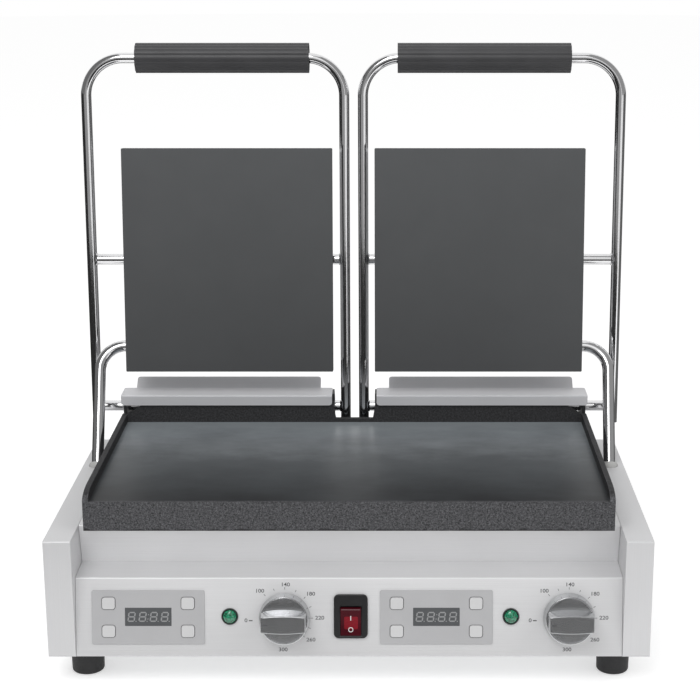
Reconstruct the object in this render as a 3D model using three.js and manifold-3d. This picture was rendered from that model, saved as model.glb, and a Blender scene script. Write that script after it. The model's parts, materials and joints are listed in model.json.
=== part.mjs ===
// Double contact grill: one wide lower plate under two lids that swing on their own shafts.
// Millimetres, +Z up, +X to the right of someone who faces the control panel, +Y away from them.
// The model is drawn with y = 0 at the front of the side covers and z = 0 under the feet.

import * as THREE from 'three';
import { mergeVertices } from 'three/addons/utils/BufferGeometryUtils.js';
import Module from 'manifold-3d';

const wasm = await Module();
wasm.setup();

// Driving sizes of the body
const bodyWidth = 550;
const bodyDepth = 297;
const footHeight = 30;
const coverHeight = 113;
const coverWidth = 25;
const sheet = 1.2;

// Clearances
const seatGap = 0.3;
const sideGap = 1;
const overrun = 5;

// Levels and edges that several pieces share
const deckTop = footHeight + coverHeight;
const coverInnerX = bodyWidth / 2 - coverWidth;
const bodyHalfInside = coverInnerX - sideGap;

// Control panel sheet
const panelLength = 73.4;
const panelTilt = THREE.MathUtils.degToRad(11);
const panelSetback = 0.8;
const ledgeRise = 1.5;
const riserFootY = 50.6;
const deckFrontY = 41;
const frontLip = 16;
const deckOpening = { sideMargin: 42.5, endMargin: 30.5 };

// Side cover
const coverCornerRadius = 2;
const coverWindow = { front: 70, rear: 60, below: 16, above: 14 };

// Base pan and rear panel
const panFlange = 18;
const panGap = 0.8;
const ventSlot = { width: 5, pitch: 12, perGroup: 5, lengthShare: 0.257, groupShare: 0.482 };
const rearSlot = { width: 4, pitch: 11, perGroup: 5, lengthShare: 0.361, groupShare: 0.442 };

// Feet
const foot = { topRadius: 16, bottomRadius: 15, edge: 1.5, recessRadius: 8, recessDepth: 2 };
const footSideInset = 28.5;
const footX = bodyWidth / 2 - footSideInset;
const footInset = 40;

// Lower cast plate
const lowerPlate = {
  sideMargin: 6.5, frontY: 26, rearMargin: 26, thickness: 27.7,
  skirt: 7, topWall: 12, sideRim: 5, rimHeight: 8.5, rimEase: 27,
};
const rearRim = {
  thickness: 5, height: 29, endSlopeRun: 32.6,
  notchBottomHalf: 19.3, notchTopHalf: 22.7, notchFloor: 4.4, shoulder: 5,
};

// Heating elements, each one sheathed rod folded into straight runs
const elementRadius = 4;
const elementBendRadius = 12;
const elementRuns = 4;
const lowerElement = { sideMargin: 52.5, endMargin: 42.5, tailDrop: 20 };
const upperElement = { sideMargin: 34.8, endMargin: 39.6, tailRise: 14 };

// Timer overlays, displays and keys on the panel
const overlay = { width: 103, height: 50, thickness: 0.8, corner: 2, top: 11.4 };
const displayWindow = { width: 42.6, height: 17, down: 36 };
const keyCap = { width: 12.8, height: 11.8, corner: 3, proud: 0.7, length: 3.4 };
const keySpacing = { x: 72.4, z: 25.9 };
const keyTravel = 0.5;
const board = { width: 96, height: 42, thickness: 1.6, depth: 9, postRadius: 2.5, standoffRadius: 2.5 };
const displayBlock = { width: 46, height: 20 };
const standoffInset = 3.5;

// Lamps
const lamp = {
  bezelRadius: 7.7, bezel: 1.6, domeRadius: 6.2, dome: 2.6, bodyRadius: 5.6, bodyLength: 16,
  shoulderRadiusShare: 0.81, shoulderHeightShare: 0.6,
};
const lampDown = 35.7;

// Thermostats, shafts and knobs; a knob is a tapered skirt with a bowed and tapered grip bar
const knob = { baseRadius: 23.6, faceRadius: 22.2, skirt: 12, edge: 1, lift: 1.2, bore: 11 };
const knobBar = { height: 16.5, clipRadius: 22, bowSteps: 6 };
const barFoot = { length: 42, middleHalf: 10.6, endHalf: 8.4 };
const barFront = { length: 40.2, middleHalf: 8.1, endHalf: 6.9 };
const knobDown = 37.3;
const shaftRadius = 3;
const shaftFit = 0.15;
const thermostat = { width: 36, height: 38, depth: 20, neckRadius: 6, neck: 7, socket: 9 };

// Mains switch
const switchSize = {
  bezelWidth: 31, bezelHeight: 40.6, bezel: 2.4, corner: 5,
  bodyWidth: 27, bodyHeight: 38.6, bodyDepth: 22,
  wellWidth: 19.6, wellHeight: 27.4, wellDepth: 12, wellDrop: 4,
};
const switchDown = 35.4;
const rocker = { width: 18.8, length: 25.6, thickness: 6.5, dish: 1.6, axisDepth: 4 };
const rockerTilt = THREE.MathUtils.degToRad(7);

// The spare width of the panel, shared out before, between and after its seven fittings
const panelGapShares = [0.1031, 0.1127, 0.1384, 0.1568, 0.0825, 0.0655, 0.1598, 0.1812];
const fittingWidths = [
  overlay.width, 2 * lamp.bezelRadius, 2 * knob.baseRadius, switchSize.bezelWidth,
  overlay.width, 2 * lamp.bezelRadius, 2 * knob.baseRadius,
];
const spareWidth = 2 * bodyHalfInside - fittingWidths.reduce((sum, width) => sum + width, 0);
const fittingCentres = fittingWidths.map((width, i) => {
  const gaps = panelGapShares.slice(0, i + 1).reduce((sum, share) => sum + share * spareWidth, 0);
  const before = fittingWidths.slice(0, i).reduce((sum, other) => sum + other, 0);
  return -bodyHalfInside + gaps + before + width / 2;
});
const overlayCentres = [fittingCentres[0], fittingCentres[4]];
const lampX = [fittingCentres[1], fittingCentres[5]];
const knobX = [fittingCentres[2], fittingCentres[6]];
const switchX = fittingCentres[3];

// Lid hinges, their brackets, springs and covers
const hingeInset = 4;
const hingeY = bodyDepth - hingeInset;
const hingeHeight = 38.2;
const hingeRodRadius = 5.6;
const hingeFit = 0.3;
const bracket = { thickness: 4, footWidth: 18, plateGap: 3, noseRadius: 13, topGap: 0.3, flange: 3 };
const innerBracketX = 23.3;
const outerBracketInset = 9;
const spring = { wireRadius: 1.75, meanRadius: 11, pitch: 4.8, turns: 12, startX: 60 };
const collar = { radius: 14, width: 5, lugWidth: 5, lugDepth: 5 };
const springCover = {
  wideInner: 23.2, narrowInner: 36, wideOuterInset: 6.4, narrowOuterInset: 19,
  lip: 10.8, frontGap: 1.4, wallThickness: 1, flatLength: 28.5, riseRun: 11, rise: 9.2,
};

// Lid frame, a bent rod with a sleeve grip
const armRadius = 5.2;
const outerArmInset = 2.5;
const outerArmX = bodyWidth / 2 - outerArmInset;
const innerArmX = 9.55;
const armLean = THREE.MathUtils.degToRad(3.15);
const armStub = 18;
const handleBend = 38;
const crossbarRadius = 5.5;
const grip = { radius: 15.4, fluteDepth: 0.5, flutes: 14, wallFit: 0.3, innerGap: 35.4, outerGap: 52.1 };

// Upper plates and housings
const upperPlate = { innerGap: 11.9, outerGap: 37.3, length: 229.2, thickness: 8.5, corner: 1 };
const upperPlateWidth = outerArmX - innerArmX - upperPlate.innerGap - upperPlate.outerGap;
const upperPlateX = innerArmX + upperPlate.innerGap + upperPlateWidth / 2;
const plateLean = THREE.MathUtils.degToRad(6);
const plateFaceAhead = 30.2;
const plateCentreBeyond = 1;
const plateFootReach = 43.3;
const handleBeyondPlate = 90.7;
const crossbarReach = plateFootReach + upperPlate.length / 2 - plateCentreBeyond;
const handleReach = plateFootReach + upperPlate.length + handleBeyondPlate;
const housing = { inset: 8, endInset: 3, depth: 36, wall: 1.2, corner: 4 };

// Conduits that carry the lid's wires, and the ball bushes that they slide through
const conduitRadius = 6;
const conduitAhead = 82;
const conduitInset = 14.6;
const conduitHoleY = hingeY - conduitAhead;
const conduitHoleX = bodyWidth / 2 - conduitInset;
const conduitLean = THREE.MathUtils.degToRad(33.1);
const conduitSplay = 0.03;
const conduitRun = 128.4;
const conduitBend = 26;
const conduitTail = 10;
const conduitInside = 9;
const bush = { ballRadius: 8.6, bore: 6.3, halfHeight: 4.4 };
const conduitWindow = { radius: 9.9, behind: 1.4 };

// Cord gland
const gland = {
  flangeRadius: 12, flange: 3, noseRadius: 8, nose: 16, bore: 4.2, boreDepth: 14, height: 34,
  sideShare: 0.683,
};
const glandX = bodyHalfInside * gland.sideShare;

// Number of sides on round things and of steps on bends, chosen by how large they show
const fine = 32;
const medium = 20;
const coarse = 12;
const postSides = 8;
const elementSides = 6;
const elementSteps = 3;
const bendSteps = 7;
const springSteps = 8;
const springSides = 5;
const ballSteps = 6;
const fluteSteps = 4;
const cornerSteps = 2;
const curveSteps = 4;
const easeSteps = 6;

// Boolean helpers; what join and keepInside give is a solid, ready for cut
function toSolid(shape) {
  if (shape instanceof wasm.Manifold) return shape;
  const bare = shape.clone();
  for (const name of Object.keys(bare.attributes)) {
    if (name !== 'position') bare.deleteAttribute(name);
  }
  const merged = mergeVertices(bare);
  const vertProperties = new Float32Array(merged.attributes.position.array);
  const triVerts = new Uint32Array(merged.index.array);
  return new wasm.Manifold(new wasm.Mesh({ numProp: 3, vertProperties, triVerts }));
}

function toGeometry(solid) {
  const mesh = solid.getMesh();
  const geometry = new THREE.BufferGeometry();
  geometry.setAttribute('position', new THREE.BufferAttribute(new Float32Array(mesh.vertProperties), 3));
  geometry.setIndex(new THREE.BufferAttribute(new Uint32Array(mesh.triVerts), 1));
  geometry.computeVertexNormals();
  return geometry;
}

function cut(shape, tools) {
  let solid = toSolid(shape);
  for (const tool of tools) solid = solid.subtract(toSolid(tool));
  return toGeometry(solid);
}

function join(pieces) {
  let solid = toSolid(pieces[0]);
  for (const piece of pieces.slice(1)) solid = solid.add(toSolid(piece));
  return solid;
}

function keepInside(geometry, limit) {
  return toSolid(geometry).intersect(toSolid(limit));
}

// Shape helpers
function box(width, depth, height, x = 0, y = 0, z = 0) {
  return new THREE.BoxGeometry(width, depth, height).translate(x, y, z);
}

function roundedRectangle(width, height, corner) {
  const shape = new THREE.Shape();
  const right = width / 2 - corner;
  const top = height / 2 - corner;
  shape.absarc(right, top, corner, 0, Math.PI / 2);
  shape.absarc(-right, top, corner, Math.PI / 2, Math.PI);
  shape.absarc(-right, -top, corner, Math.PI, 1.5 * Math.PI);
  shape.absarc(right, -top, corner, 1.5 * Math.PI, 2 * Math.PI);
  return shape;
}

function polygon(points) {
  return new THREE.Shape(points.map(([a, b]) => new THREE.Vector2(a, b)));
}

function regularOutline(radius, sides) {
  const points = [];
  for (let i = 0; i < sides; i += 1) {
    const angle = (2 * Math.PI * i) / sides;
    points.push([radius * Math.cos(angle), radius * Math.sin(angle)]);
  }
  return polygon(points);
}

function extrude(shape, depth, curveSegments) {
  return new THREE.ExtrudeGeometry(shape, { depth, curveSegments, bevelEnabled: false });
}

// A (y, z) outline becomes a bar along X, centred on x
function barAlongX(shape, length, x = 0, curveSegments = curveSteps) {
  const turn = new THREE.Matrix4().makeBasis(
    new THREE.Vector3(0, 1, 0), new THREE.Vector3(0, 0, 1), new THREE.Vector3(1, 0, 0));
  return extrude(shape, length, curveSegments).applyMatrix4(turn).translate(x - length / 2, 0, 0);
}

// An (x, z) outline becomes a plate that starts at y = back and grows towards the viewer
function plateTowardsFront(shape, thickness, back = 0, curveSegments = curveSteps) {
  const turn = new THREE.Matrix4().makeBasis(
    new THREE.Vector3(1, 0, 0), new THREE.Vector3(0, 0, 1), new THREE.Vector3(0, -1, 0));
  return extrude(shape, thickness, curveSegments).applyMatrix4(turn).translate(0, back, 0);
}

function cylinderX(radius, length, sides, x = 0, y = 0, z = 0) {
  return new THREE.CylinderGeometry(radius, radius, length, sides).rotateZ(Math.PI / 2).translate(x, y, z);
}

function cylinderY(radius, length, sides, x = 0, y = 0, z = 0) {
  return new THREE.CylinderGeometry(radius, radius, length, sides).translate(x, y, z);
}

function cylinderZ(radius, length, sides, x = 0, y = 0, z = 0) {
  return new THREE.CylinderGeometry(radius, radius, length, sides).rotateX(Math.PI / 2).translate(x, y, z);
}

// Turned piece: pairs of (radius, height along +Z)
function turned(pairs, sides) {
  const profile = pairs.map(([radius, height]) => new THREE.Vector2(radius, height));
  return new THREE.LatheGeometry(profile, sides).rotateX(Math.PI / 2);
}

// Folded sheet: a polyline in (y, z) thickened to one side, with mitred folds
function foldedSheet(line, thickness) {
  const points = line.map(([a, b]) => new THREE.Vector2(a, b));
  const offset = points.map((point, i) => {
    const before = points[Math.max(i - 1, 0)];
    const after = points[Math.min(i + 1, points.length - 1)];
    const inward = i === 0 ? after.clone().sub(point) : point.clone().sub(before);
    const outward = i === points.length - 1 ? inward.clone() : after.clone().sub(point);
    inward.normalize();
    outward.normalize();
    const normal = new THREE.Vector2(inward.y + outward.y, -inward.x - outward.x).normalize();
    const spread = normal.dot(new THREE.Vector2(outward.y, -outward.x));
    return point.clone().addScaledVector(normal, thickness / spread);
  });
  return new THREE.Shape([...points, ...offset.reverse()]);
}

// A rod's centre line, with one step on each straight and a few on each bend
class Route extends THREE.Curve {
  constructor(stations) {
    super();
    this.stations = stations;
  }

  station(share) {
    return this.stations[Math.round(share * (this.stations.length - 1))];
  }

  getPointAt(share, target = new THREE.Vector3()) {
    return target.copy(this.station(share).point);
  }

  getTangentAt(share, target = new THREE.Vector3()) {
    return target.copy(this.station(share).tangent);
  }

  getPoint(share, target) {
    return this.getPointAt(share, target);
  }
}

function bentRoute(corners, bendRadius, steps = bendSteps) {
  const points = corners.map((corner) => new THREE.Vector3(...corner));
  const heading = (i) => points[i + 1].clone().sub(points[i]).normalize();
  const stations = [{ point: points[0].clone(), tangent: heading(0) }];
  for (let i = 1; i < points.length - 1; i += 1) {
    const before = heading(i - 1);
    const after = heading(i);
    const turn = before.angleTo(after);
    const reach = bendRadius * Math.tan(turn / 2);
    const start = points[i].clone().addScaledVector(before, -reach);
    const inward = after.clone().addScaledVector(before, -after.dot(before)).normalize();
    const centre = start.clone().addScaledVector(inward, bendRadius);
    for (let step = 0; step <= steps; step += 1) {
      const angle = (turn * step) / steps;
      const point = centre.clone()
        .addScaledVector(inward, -bendRadius * Math.cos(angle))
        .addScaledVector(before, bendRadius * Math.sin(angle));
      const tangent = before.clone().multiplyScalar(Math.cos(angle))
        .addScaledVector(inward, Math.sin(angle));
      stations.push({ point, tangent });
    }
  }
  stations.push({ point: points[points.length - 1].clone(), tangent: heading(points.length - 2) });
  return new Route(stations);
}

function rod(route, radius, sides) {
  const options = { steps: route.stations.length - 1, extrudePath: route, bevelEnabled: false };
  return new THREE.ExtrudeGeometry(regularOutline(radius, sides), options);
}

// Finishes
const finishes = {
  brushedSteel: { color: 0xc9cacc, metalness: 0.9, roughness: 0.42 },
  polishedSteel: { color: 0xd6d7d9, metalness: 1, roughness: 0.15 },
  galvanised: { color: 0xa9abad, metalness: 0.8, roughness: 0.5 },
  darkSheet: { color: 0x1f1f20, metalness: 0.5, roughness: 0.55 },
  castIron: { color: 0x4c5052, metalness: 0.4, roughness: 0.6 },
  blackPlastic: { color: 0x2b2b2d, metalness: 0, roughness: 0.5 },
  rubber: { color: 0x1c1c1d, metalness: 0, roughness: 0.85 },
  overlayFilm: { color: 0xc3c3c4, metalness: 0.1, roughness: 0.5 },
  displayGlass: { color: 0x3f4144, metalness: 0.1, roughness: 0.15 },
  keyCap: { color: 0xdcdcdc, metalness: 0, roughness: 0.5 },
  greenLens: { color: 0x0c7a45, metalness: 0, roughness: 0.2 },
  knobSilver: { color: 0xb9babb, metalness: 0.7, roughness: 0.35 },
  redPlastic: { color: 0x8e1216, metalness: 0, roughness: 0.3 },
  whiteBush: { color: 0xdad8d2, metalness: 0, roughness: 0.5 },
  elementSheath: { color: 0x6d675f, metalness: 0.7, roughness: 0.55 },
  springSteel: { color: 0x77797c, metalness: 0.9, roughness: 0.4 },
};

function piece(name, geometry, finish) {
  const mesh = new THREE.Mesh(geometry, new THREE.MeshStandardMaterial(finishes[finish]));
  mesh.name = name;
  return mesh;
}

// The panel's own frame: x across, z up the sloping face from its top edge, y into the body
const panelTop = {
  y: panelSetback + panelLength * Math.sin(panelTilt),
  z: footHeight + panelLength * Math.cos(panelTilt),
};

function panelGroup() {
  const group = new THREE.Group();
  group.position.set(0, panelTop.y, panelTop.z);
  group.rotation.x = -panelTilt;
  group.updateMatrix();
  return group;
}

const panel = panelGroup();

function onPanel(geometry) {
  return geometry.clone().applyMatrix4(panel.matrix);
}

const keyOffsets = [];
for (const vertical of [1, -1]) {
  for (const across of [-1, 1]) {
    keyOffsets.push({ x: (across * keySpacing.x) / 2, z: (vertical * keySpacing.z) / 2 });
  }
}
const overlayDown = overlay.top + overlay.height / 2;

// Body shell
function sideCover(side) {
  const outline = roundedRectangle(bodyDepth, coverHeight, coverCornerRadius);
  const centreX = side * (coverInnerX + coverWidth / 2);
  const centreY = bodyDepth / 2;
  const centreZ = footHeight + coverHeight / 2;
  const shell = barAlongX(outline, coverWidth, centreX, cornerSteps).translate(0, centreY, centreZ);
  const hollow = box(coverWidth - 2 * sheet, bodyDepth - 2 * sheet, coverHeight - 2 * sheet,
    centreX, centreY, centreZ);
  const windowDepth = bodyDepth - coverWindow.front - coverWindow.rear;
  const windowHeight = coverHeight - coverWindow.below - coverWindow.above;
  const window = box(2 * overrun, windowDepth, windowHeight,
    side * coverInnerX, coverWindow.front + windowDepth / 2,
    footHeight + coverWindow.below + windowHeight / 2);
  const hole = cylinderZ(bush.ballRadius + seatGap, 2 * overrun, medium,
    side * conduitHoleX, conduitHoleY, deckTop);
  return cut(shell, [hollow, window, hole]);
}

function fasciaDeck() {
  const line = [
    [frontLip, footHeight],
    [panelSetback, footHeight],
    [panelTop.y, panelTop.z],
    [riserFootY, panelTop.z + ledgeRise],
    [deckFrontY, deckTop],
    [bodyDepth, deckTop],
  ];
  const profile = foldedSheet(line, sheet);
  const bent = barAlongX(profile, 2 * bodyHalfInside);
  const tools = [];
  for (const x of overlayCentres) {
    tools.push(onPanel(box(displayBlock.width + 2 * seatGap, 2 * overrun, displayBlock.height + 2 * seatGap,
      x, 0, -displayWindow.down)));
    for (const offset of keyOffsets) {
      tools.push(onPanel(box(keyCap.width + 2 * seatGap, 2 * overrun, keyCap.height + 2 * seatGap,
        x + offset.x, 0, offset.z - overlayDown)));
    }
  }
  for (const x of lampX) {
    tools.push(onPanel(cylinderY(lamp.bodyRadius + seatGap, 2 * overrun, coarse, x, 0, -lampDown)));
  }
  for (const x of knobX) {
    tools.push(onPanel(cylinderY(shaftRadius + seatGap, 2 * overrun, coarse, x, 0, -knobDown)));
  }
  tools.push(onPanel(box(switchSize.bodyWidth + 2 * seatGap, 2 * overrun,
    switchSize.bodyHeight + 2 * seatGap, switchX, 0, -switchDown)));
  tools.push(box(lowerPlateWidth - 2 * deckOpening.sideMargin, lowerPlateDepth - 2 * deckOpening.endMargin,
    2 * overrun, 0, plateMiddleY, deckTop));
  return cut(bent, tools);
}

function basePan() {
  const halfWidth = bodyHalfInside - panGap;
  const front = frontLip + panGap;
  const rear = bodyDepth - sheet - panGap;
  const depth = rear - front;
  const middle = (front + rear) / 2;
  const block = box(2 * halfWidth, depth, panFlange, 0, middle, footHeight + panFlange / 2);
  const trough = box(2 * (halfWidth - sheet), depth + 2 * overrun, panFlange,
    0, middle, footHeight + sheet + panFlange / 2);
  const slots = [];
  const slotLength = bodyHalfInside * ventSlot.lengthShare;
  for (const side of [-1, 1]) {
    const groupX = side * bodyHalfInside * ventSlot.groupShare;
    for (let i = 0; i < ventSlot.perGroup; i += 1) {
      const y = middle + (i - (ventSlot.perGroup - 1) / 2) * ventSlot.pitch;
      slots.push(box(slotLength, ventSlot.width, 2 * overrun, groupX, y, footHeight));
    }
  }
  return cut(block, [trough, ...slots]);
}

function rearPanel() {
  const halfWidth = bodyHalfInside - panGap;
  const low = footHeight;
  const high = deckTop - sheet - seatGap;
  const plate = box(2 * halfWidth, sheet, high - low, 0, bodyDepth - sheet / 2, (low + high) / 2);
  const tools = [cylinderY(gland.noseRadius + seatGap, 2 * overrun, medium,
    glandX, bodyDepth, footHeight + gland.height)];
  const slotLength = bodyHalfInside * rearSlot.lengthShare;
  for (const side of [-1, 1]) {
    const groupX = side * bodyHalfInside * rearSlot.groupShare;
    for (let i = 0; i < rearSlot.perGroup; i += 1) {
      const z = (low + high) / 2 + (i + 1 - rearSlot.perGroup / 2) * rearSlot.pitch;
      tools.push(box(slotLength, 2 * overrun, rearSlot.width, groupX, bodyDepth, z));
    }
  }
  return cut(plate, tools);
}

function footBody() {
  const top = footHeight - seatGap;
  return turned([
    [0, foot.recessDepth],
    [foot.recessRadius, foot.recessDepth],
    [foot.recessRadius, 0],
    [foot.bottomRadius - foot.edge, 0],
    [foot.bottomRadius, foot.edge],
    [foot.topRadius, top],
    [0, top],
  ], medium);
}

function cordGland() {
  const inside = sheet + overrun;
  const body = turned([
    [0, -inside],
    [gland.noseRadius, -inside],
    [gland.noseRadius, seatGap],
    [gland.flangeRadius, seatGap],
    [gland.flangeRadius, gland.flange],
    [gland.noseRadius, gland.flange],
    [gland.noseRadius - 2 * sheet, gland.nose],
    [gland.bore, gland.nose],
    [gland.bore, gland.nose - gland.boreDepth],
    [0, gland.nose - gland.boreDepth],
  ], medium);
  return body.rotateX(-Math.PI / 2).translate(glandX, bodyDepth, footHeight + gland.height);
}

// Lower cast plate with its rims
const lowerPlateWidth = 2 * (bodyHalfInside - lowerPlate.sideMargin);
const lowerPlateDepth = bodyDepth - lowerPlate.frontY - lowerPlate.rearMargin;
const plateMiddleY = lowerPlate.frontY + lowerPlateDepth / 2;
const plateRearY = lowerPlate.frontY + lowerPlateDepth;
const plateBottom = deckTop + seatGap;
const cookingTop = plateBottom + lowerPlate.thickness;

function sideRimOutline() {
  const low = cookingTop - lowerPlate.topWall / 2;
  const shape = new THREE.Shape();
  shape.moveTo(lowerPlate.frontY, low);
  shape.lineTo(plateRearY, low);
  shape.lineTo(plateRearY, cookingTop + lowerPlate.rimHeight);
  shape.lineTo(lowerPlate.frontY + lowerPlate.rimEase, cookingTop + lowerPlate.rimHeight);
  shape.absellipse(lowerPlate.frontY + lowerPlate.rimEase, cookingTop,
    lowerPlate.rimEase, lowerPlate.rimHeight, Math.PI / 2, Math.PI);
  shape.closePath();
  return shape;
}

function rearRimOutline() {
  const half = lowerPlateWidth / 2;
  const low = cookingTop - lowerPlate.topWall / 2;
  const top = cookingTop + rearRim.height;
  const sideTop = cookingTop + lowerPlate.rimHeight;
  const floor = cookingTop + rearRim.notchFloor;
  const flatHalf = half - lowerPlate.sideRim - rearRim.endSlopeRun;
  const shoulderX = rearRim.notchTopHalf + rearRim.shoulder;
  const shape = new THREE.Shape();
  shape.moveTo(-half, low);
  shape.lineTo(half, low);
  shape.lineTo(half, sideTop);
  shape.lineTo(half - lowerPlate.sideRim, sideTop);
  shape.lineTo(flatHalf, top);
  shape.lineTo(shoulderX, top);
  shape.absarc(shoulderX, top - rearRim.shoulder, rearRim.shoulder, Math.PI / 2, Math.PI);
  shape.lineTo(rearRim.notchBottomHalf, floor);
  shape.lineTo(-rearRim.notchBottomHalf, floor);
  shape.lineTo(-rearRim.notchTopHalf, top - rearRim.shoulder);
  shape.absarc(-shoulderX, top - rearRim.shoulder, rearRim.shoulder, 0, Math.PI / 2);
  shape.lineTo(-flatHalf, top);
  shape.lineTo(-half + lowerPlate.sideRim, sideTop);
  shape.lineTo(-half, sideTop);
  shape.closePath();
  return shape;
}

function lowerCasting() {
  const block = box(lowerPlateWidth, lowerPlateDepth, lowerPlate.thickness,
    0, plateMiddleY, plateBottom + lowerPlate.thickness / 2);
  const rimX = lowerPlateWidth / 2 - lowerPlate.sideRim / 2;
  const rims = [-rimX, rimX].map((x) => barAlongX(sideRimOutline(), lowerPlate.sideRim, x, easeSteps));
  const rear = plateTowardsFront(rearRimOutline(), rearRim.thickness, plateRearY);
  const pocketHeight = lowerPlate.thickness - lowerPlate.topWall;
  const pocket = box(lowerPlateWidth - 2 * lowerPlate.skirt, lowerPlateDepth - 2 * lowerPlate.skirt,
    2 * pocketHeight, 0, plateMiddleY, plateBottom);
  return cut(join([block, ...rims, rear]), [pocket]);
}

// Sheathed element: runs along X, joined by bends, with both tails turned to one side
function elementRoute(halfLength, halfDepth, tail) {
  const step = (2 * halfDepth) / (elementRuns - 1);
  const corners = [[-halfLength, -halfDepth, tail]];
  for (let i = 0; i < elementRuns; i += 1) {
    const direction = i % 2 === 0 ? 1 : -1;
    const y = -halfDepth + i * step;
    corners.push([-direction * halfLength, y, 0], [direction * halfLength, y, 0]);
  }
  corners.push([-halfLength, halfDepth, tail]);
  return bentRoute(corners, elementBendRadius, elementSteps);
}

function lowerHeater() {
  const z = cookingTop - lowerPlate.topWall - seatGap - elementRadius;
  const route = elementRoute(lowerPlateWidth / 2 - lowerElement.sideMargin,
    lowerPlateDepth / 2 - lowerElement.endMargin, -lowerElement.tailDrop);
  return rod(route, elementRadius, elementSides).translate(0, plateMiddleY, z);
}

// Panel fittings, drawn in the panel's frame with y = 0 on its outer face
function timerOverlay(x) {
  const outline = roundedRectangle(overlay.width, overlay.height, overlay.corner);
  const plate = plateTowardsFront(outline, overlay.thickness, -seatGap / 2, cornerSteps)
    .translate(x, 0, -overlayDown);
  const tools = [box(displayWindow.width, 2 * overrun, displayWindow.height, x, 0, -displayWindow.down)];
  const keyHole = roundedRectangle(keyCap.width + 2 * seatGap, keyCap.height + 2 * seatGap, keyCap.corner);
  for (const offset of keyOffsets) {
    tools.push(plateTowardsFront(keyHole, 2 * overrun, overrun, cornerSteps)
      .translate(x + offset.x, 0, offset.z - overlayDown));
  }
  return cut(plate, tools);
}

function keyButton() {
  const outline = roundedRectangle(keyCap.width, keyCap.height, keyCap.corner);
  const front = overlay.thickness + seatGap / 2 + keyCap.proud;
  return plateTowardsFront(outline, keyCap.length, keyCap.length - front, cornerSteps);
}

function displayModule(x) {
  const boardFront = board.depth;
  const plate = box(board.width, board.thickness, board.height,
    x, boardFront + board.thickness / 2, -overlayDown);
  const blockFront = seatGap;
  const blockDepth = boardFront - blockFront + sheet / 2;
  const block = box(displayBlock.width, blockDepth, displayBlock.height,
    x, blockFront + blockDepth / 2, -displayWindow.down);
  const posts = [];
  const keyBack = keyCap.length - overlay.thickness - seatGap / 2 - keyCap.proud;
  const postFront = keyBack + keyTravel + seatGap / 2;
  for (const offset of keyOffsets) {
    const length = boardFront - postFront + sheet / 2;
    posts.push(cylinderY(board.postRadius, length, postSides,
      x + offset.x, postFront + length / 2, offset.z - overlayDown));
  }
  const standoffFront = sheet + seatGap;
  for (const side of [-1, 1]) {
    const length = boardFront - standoffFront + sheet / 2;
    posts.push(cylinderY(board.standoffRadius, length, postSides,
      x + side * (board.width / 2 - standoffInset), standoffFront + length / 2, -overlayDown));
  }
  return toGeometry(join([plate, block, ...posts]));
}

function signalLamp() {
  const rimStart = seatGap;
  const body = turned([
    [0, -lamp.bodyLength],
    [lamp.bodyRadius, -lamp.bodyLength],
    [lamp.bodyRadius, rimStart],
    [lamp.bezelRadius, rimStart],
    [lamp.bezelRadius, lamp.bezel],
    [lamp.domeRadius, lamp.bezel],
    [lamp.domeRadius * lamp.shoulderRadiusShare, lamp.bezel + lamp.dome * lamp.shoulderHeightShare],
    [0, lamp.bezel + lamp.dome],
  ], medium);
  return body.rotateX(Math.PI / 2);
}

// Half of a bar's outline bows out at mid length; the other half mirrors it
function bowedOutline(size) {
  const points = [];
  for (const side of [-1, 1]) {
    for (let i = 0; i <= knobBar.bowSteps; i += 1) {
      const across = (2 * i) / knobBar.bowSteps - 1;
      const half = size.endHalf + (size.middleHalf - size.endHalf) * (1 - across * across);
      points.push([(-side * across * size.length) / 2, side * half]);
    }
  }
  return points;
}

// Solid between two (x, z) outlines of equal count, the first at y = back, the second at y = front
function tapered(backPoints, frontPoints, back, front) {
  const count = backPoints.length;
  const positions = [];
  for (const [x, z] of backPoints) positions.push(x, back, z);
  for (const [x, z] of frontPoints) positions.push(x, front, z);
  const index = [];
  for (let i = 0; i < count; i += 1) {
    const next = (i + 1) % count;
    index.push(i, next, i + count, next, next + count, i + count);
  }
  for (let i = 1; i < count - 1; i += 1) {
    index.push(0, i + 1, i, count, count + i, count + i + 1);
  }
  const geometry = new THREE.BufferGeometry();
  geometry.setAttribute('position', new THREE.Float32BufferAttribute(positions, 3));
  geometry.setIndex(index);
  return geometry;
}

function knobBody() {
  const face = knob.lift + knob.skirt;
  const skirt = turned([
    [0, knob.lift],
    [knob.baseRadius, knob.lift],
    [knob.faceRadius, face - knob.edge],
    [knob.faceRadius - knob.edge, face],
    [0, face],
  ], fine).rotateX(Math.PI / 2);
  const back = -(face - knob.edge);
  const front = -(face + knobBar.height);
  const bar = tapered(bowedOutline(barFoot), bowedOutline(barFront), back, front);
  const limit = cylinderY(knobBar.clipRadius, 2 * (back - front), fine, 0, (back + front) / 2, 0);
  const boreDepth = knob.bore + overrun;
  const bore = cylinderY(shaftRadius + shaftFit, boreDepth, coarse,
    0, -(knob.lift - overrun) - boreDepth / 2, 0);
  return cut(join([skirt, keepInside(bar, limit)]), [bore]);
}

function controlShaft() {
  const front = knob.lift + knob.bore - seatGap;
  const back = sheet + seatGap + thermostat.socket - seatGap;
  return cylinderY(shaftRadius, front + back, coarse, 0, (back - front) / 2, 0);
}

function thermostatBody() {
  const neckFront = sheet + seatGap;
  const neckBack = neckFront + thermostat.neck;
  const neck = cylinderY(thermostat.neckRadius, thermostat.neck + sheet, coarse,
    0, neckFront + (thermostat.neck + sheet) / 2, 0);
  const can = box(thermostat.width, thermostat.depth, thermostat.height,
    0, neckBack + thermostat.depth / 2, 0);
  const socketLength = thermostat.socket + overrun;
  const socket = cylinderY(shaftRadius + shaftFit, socketLength, coarse,
    0, neckFront + thermostat.socket - socketLength / 2, 0);
  return cut(join([neck, can]), [socket]);
}

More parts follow.
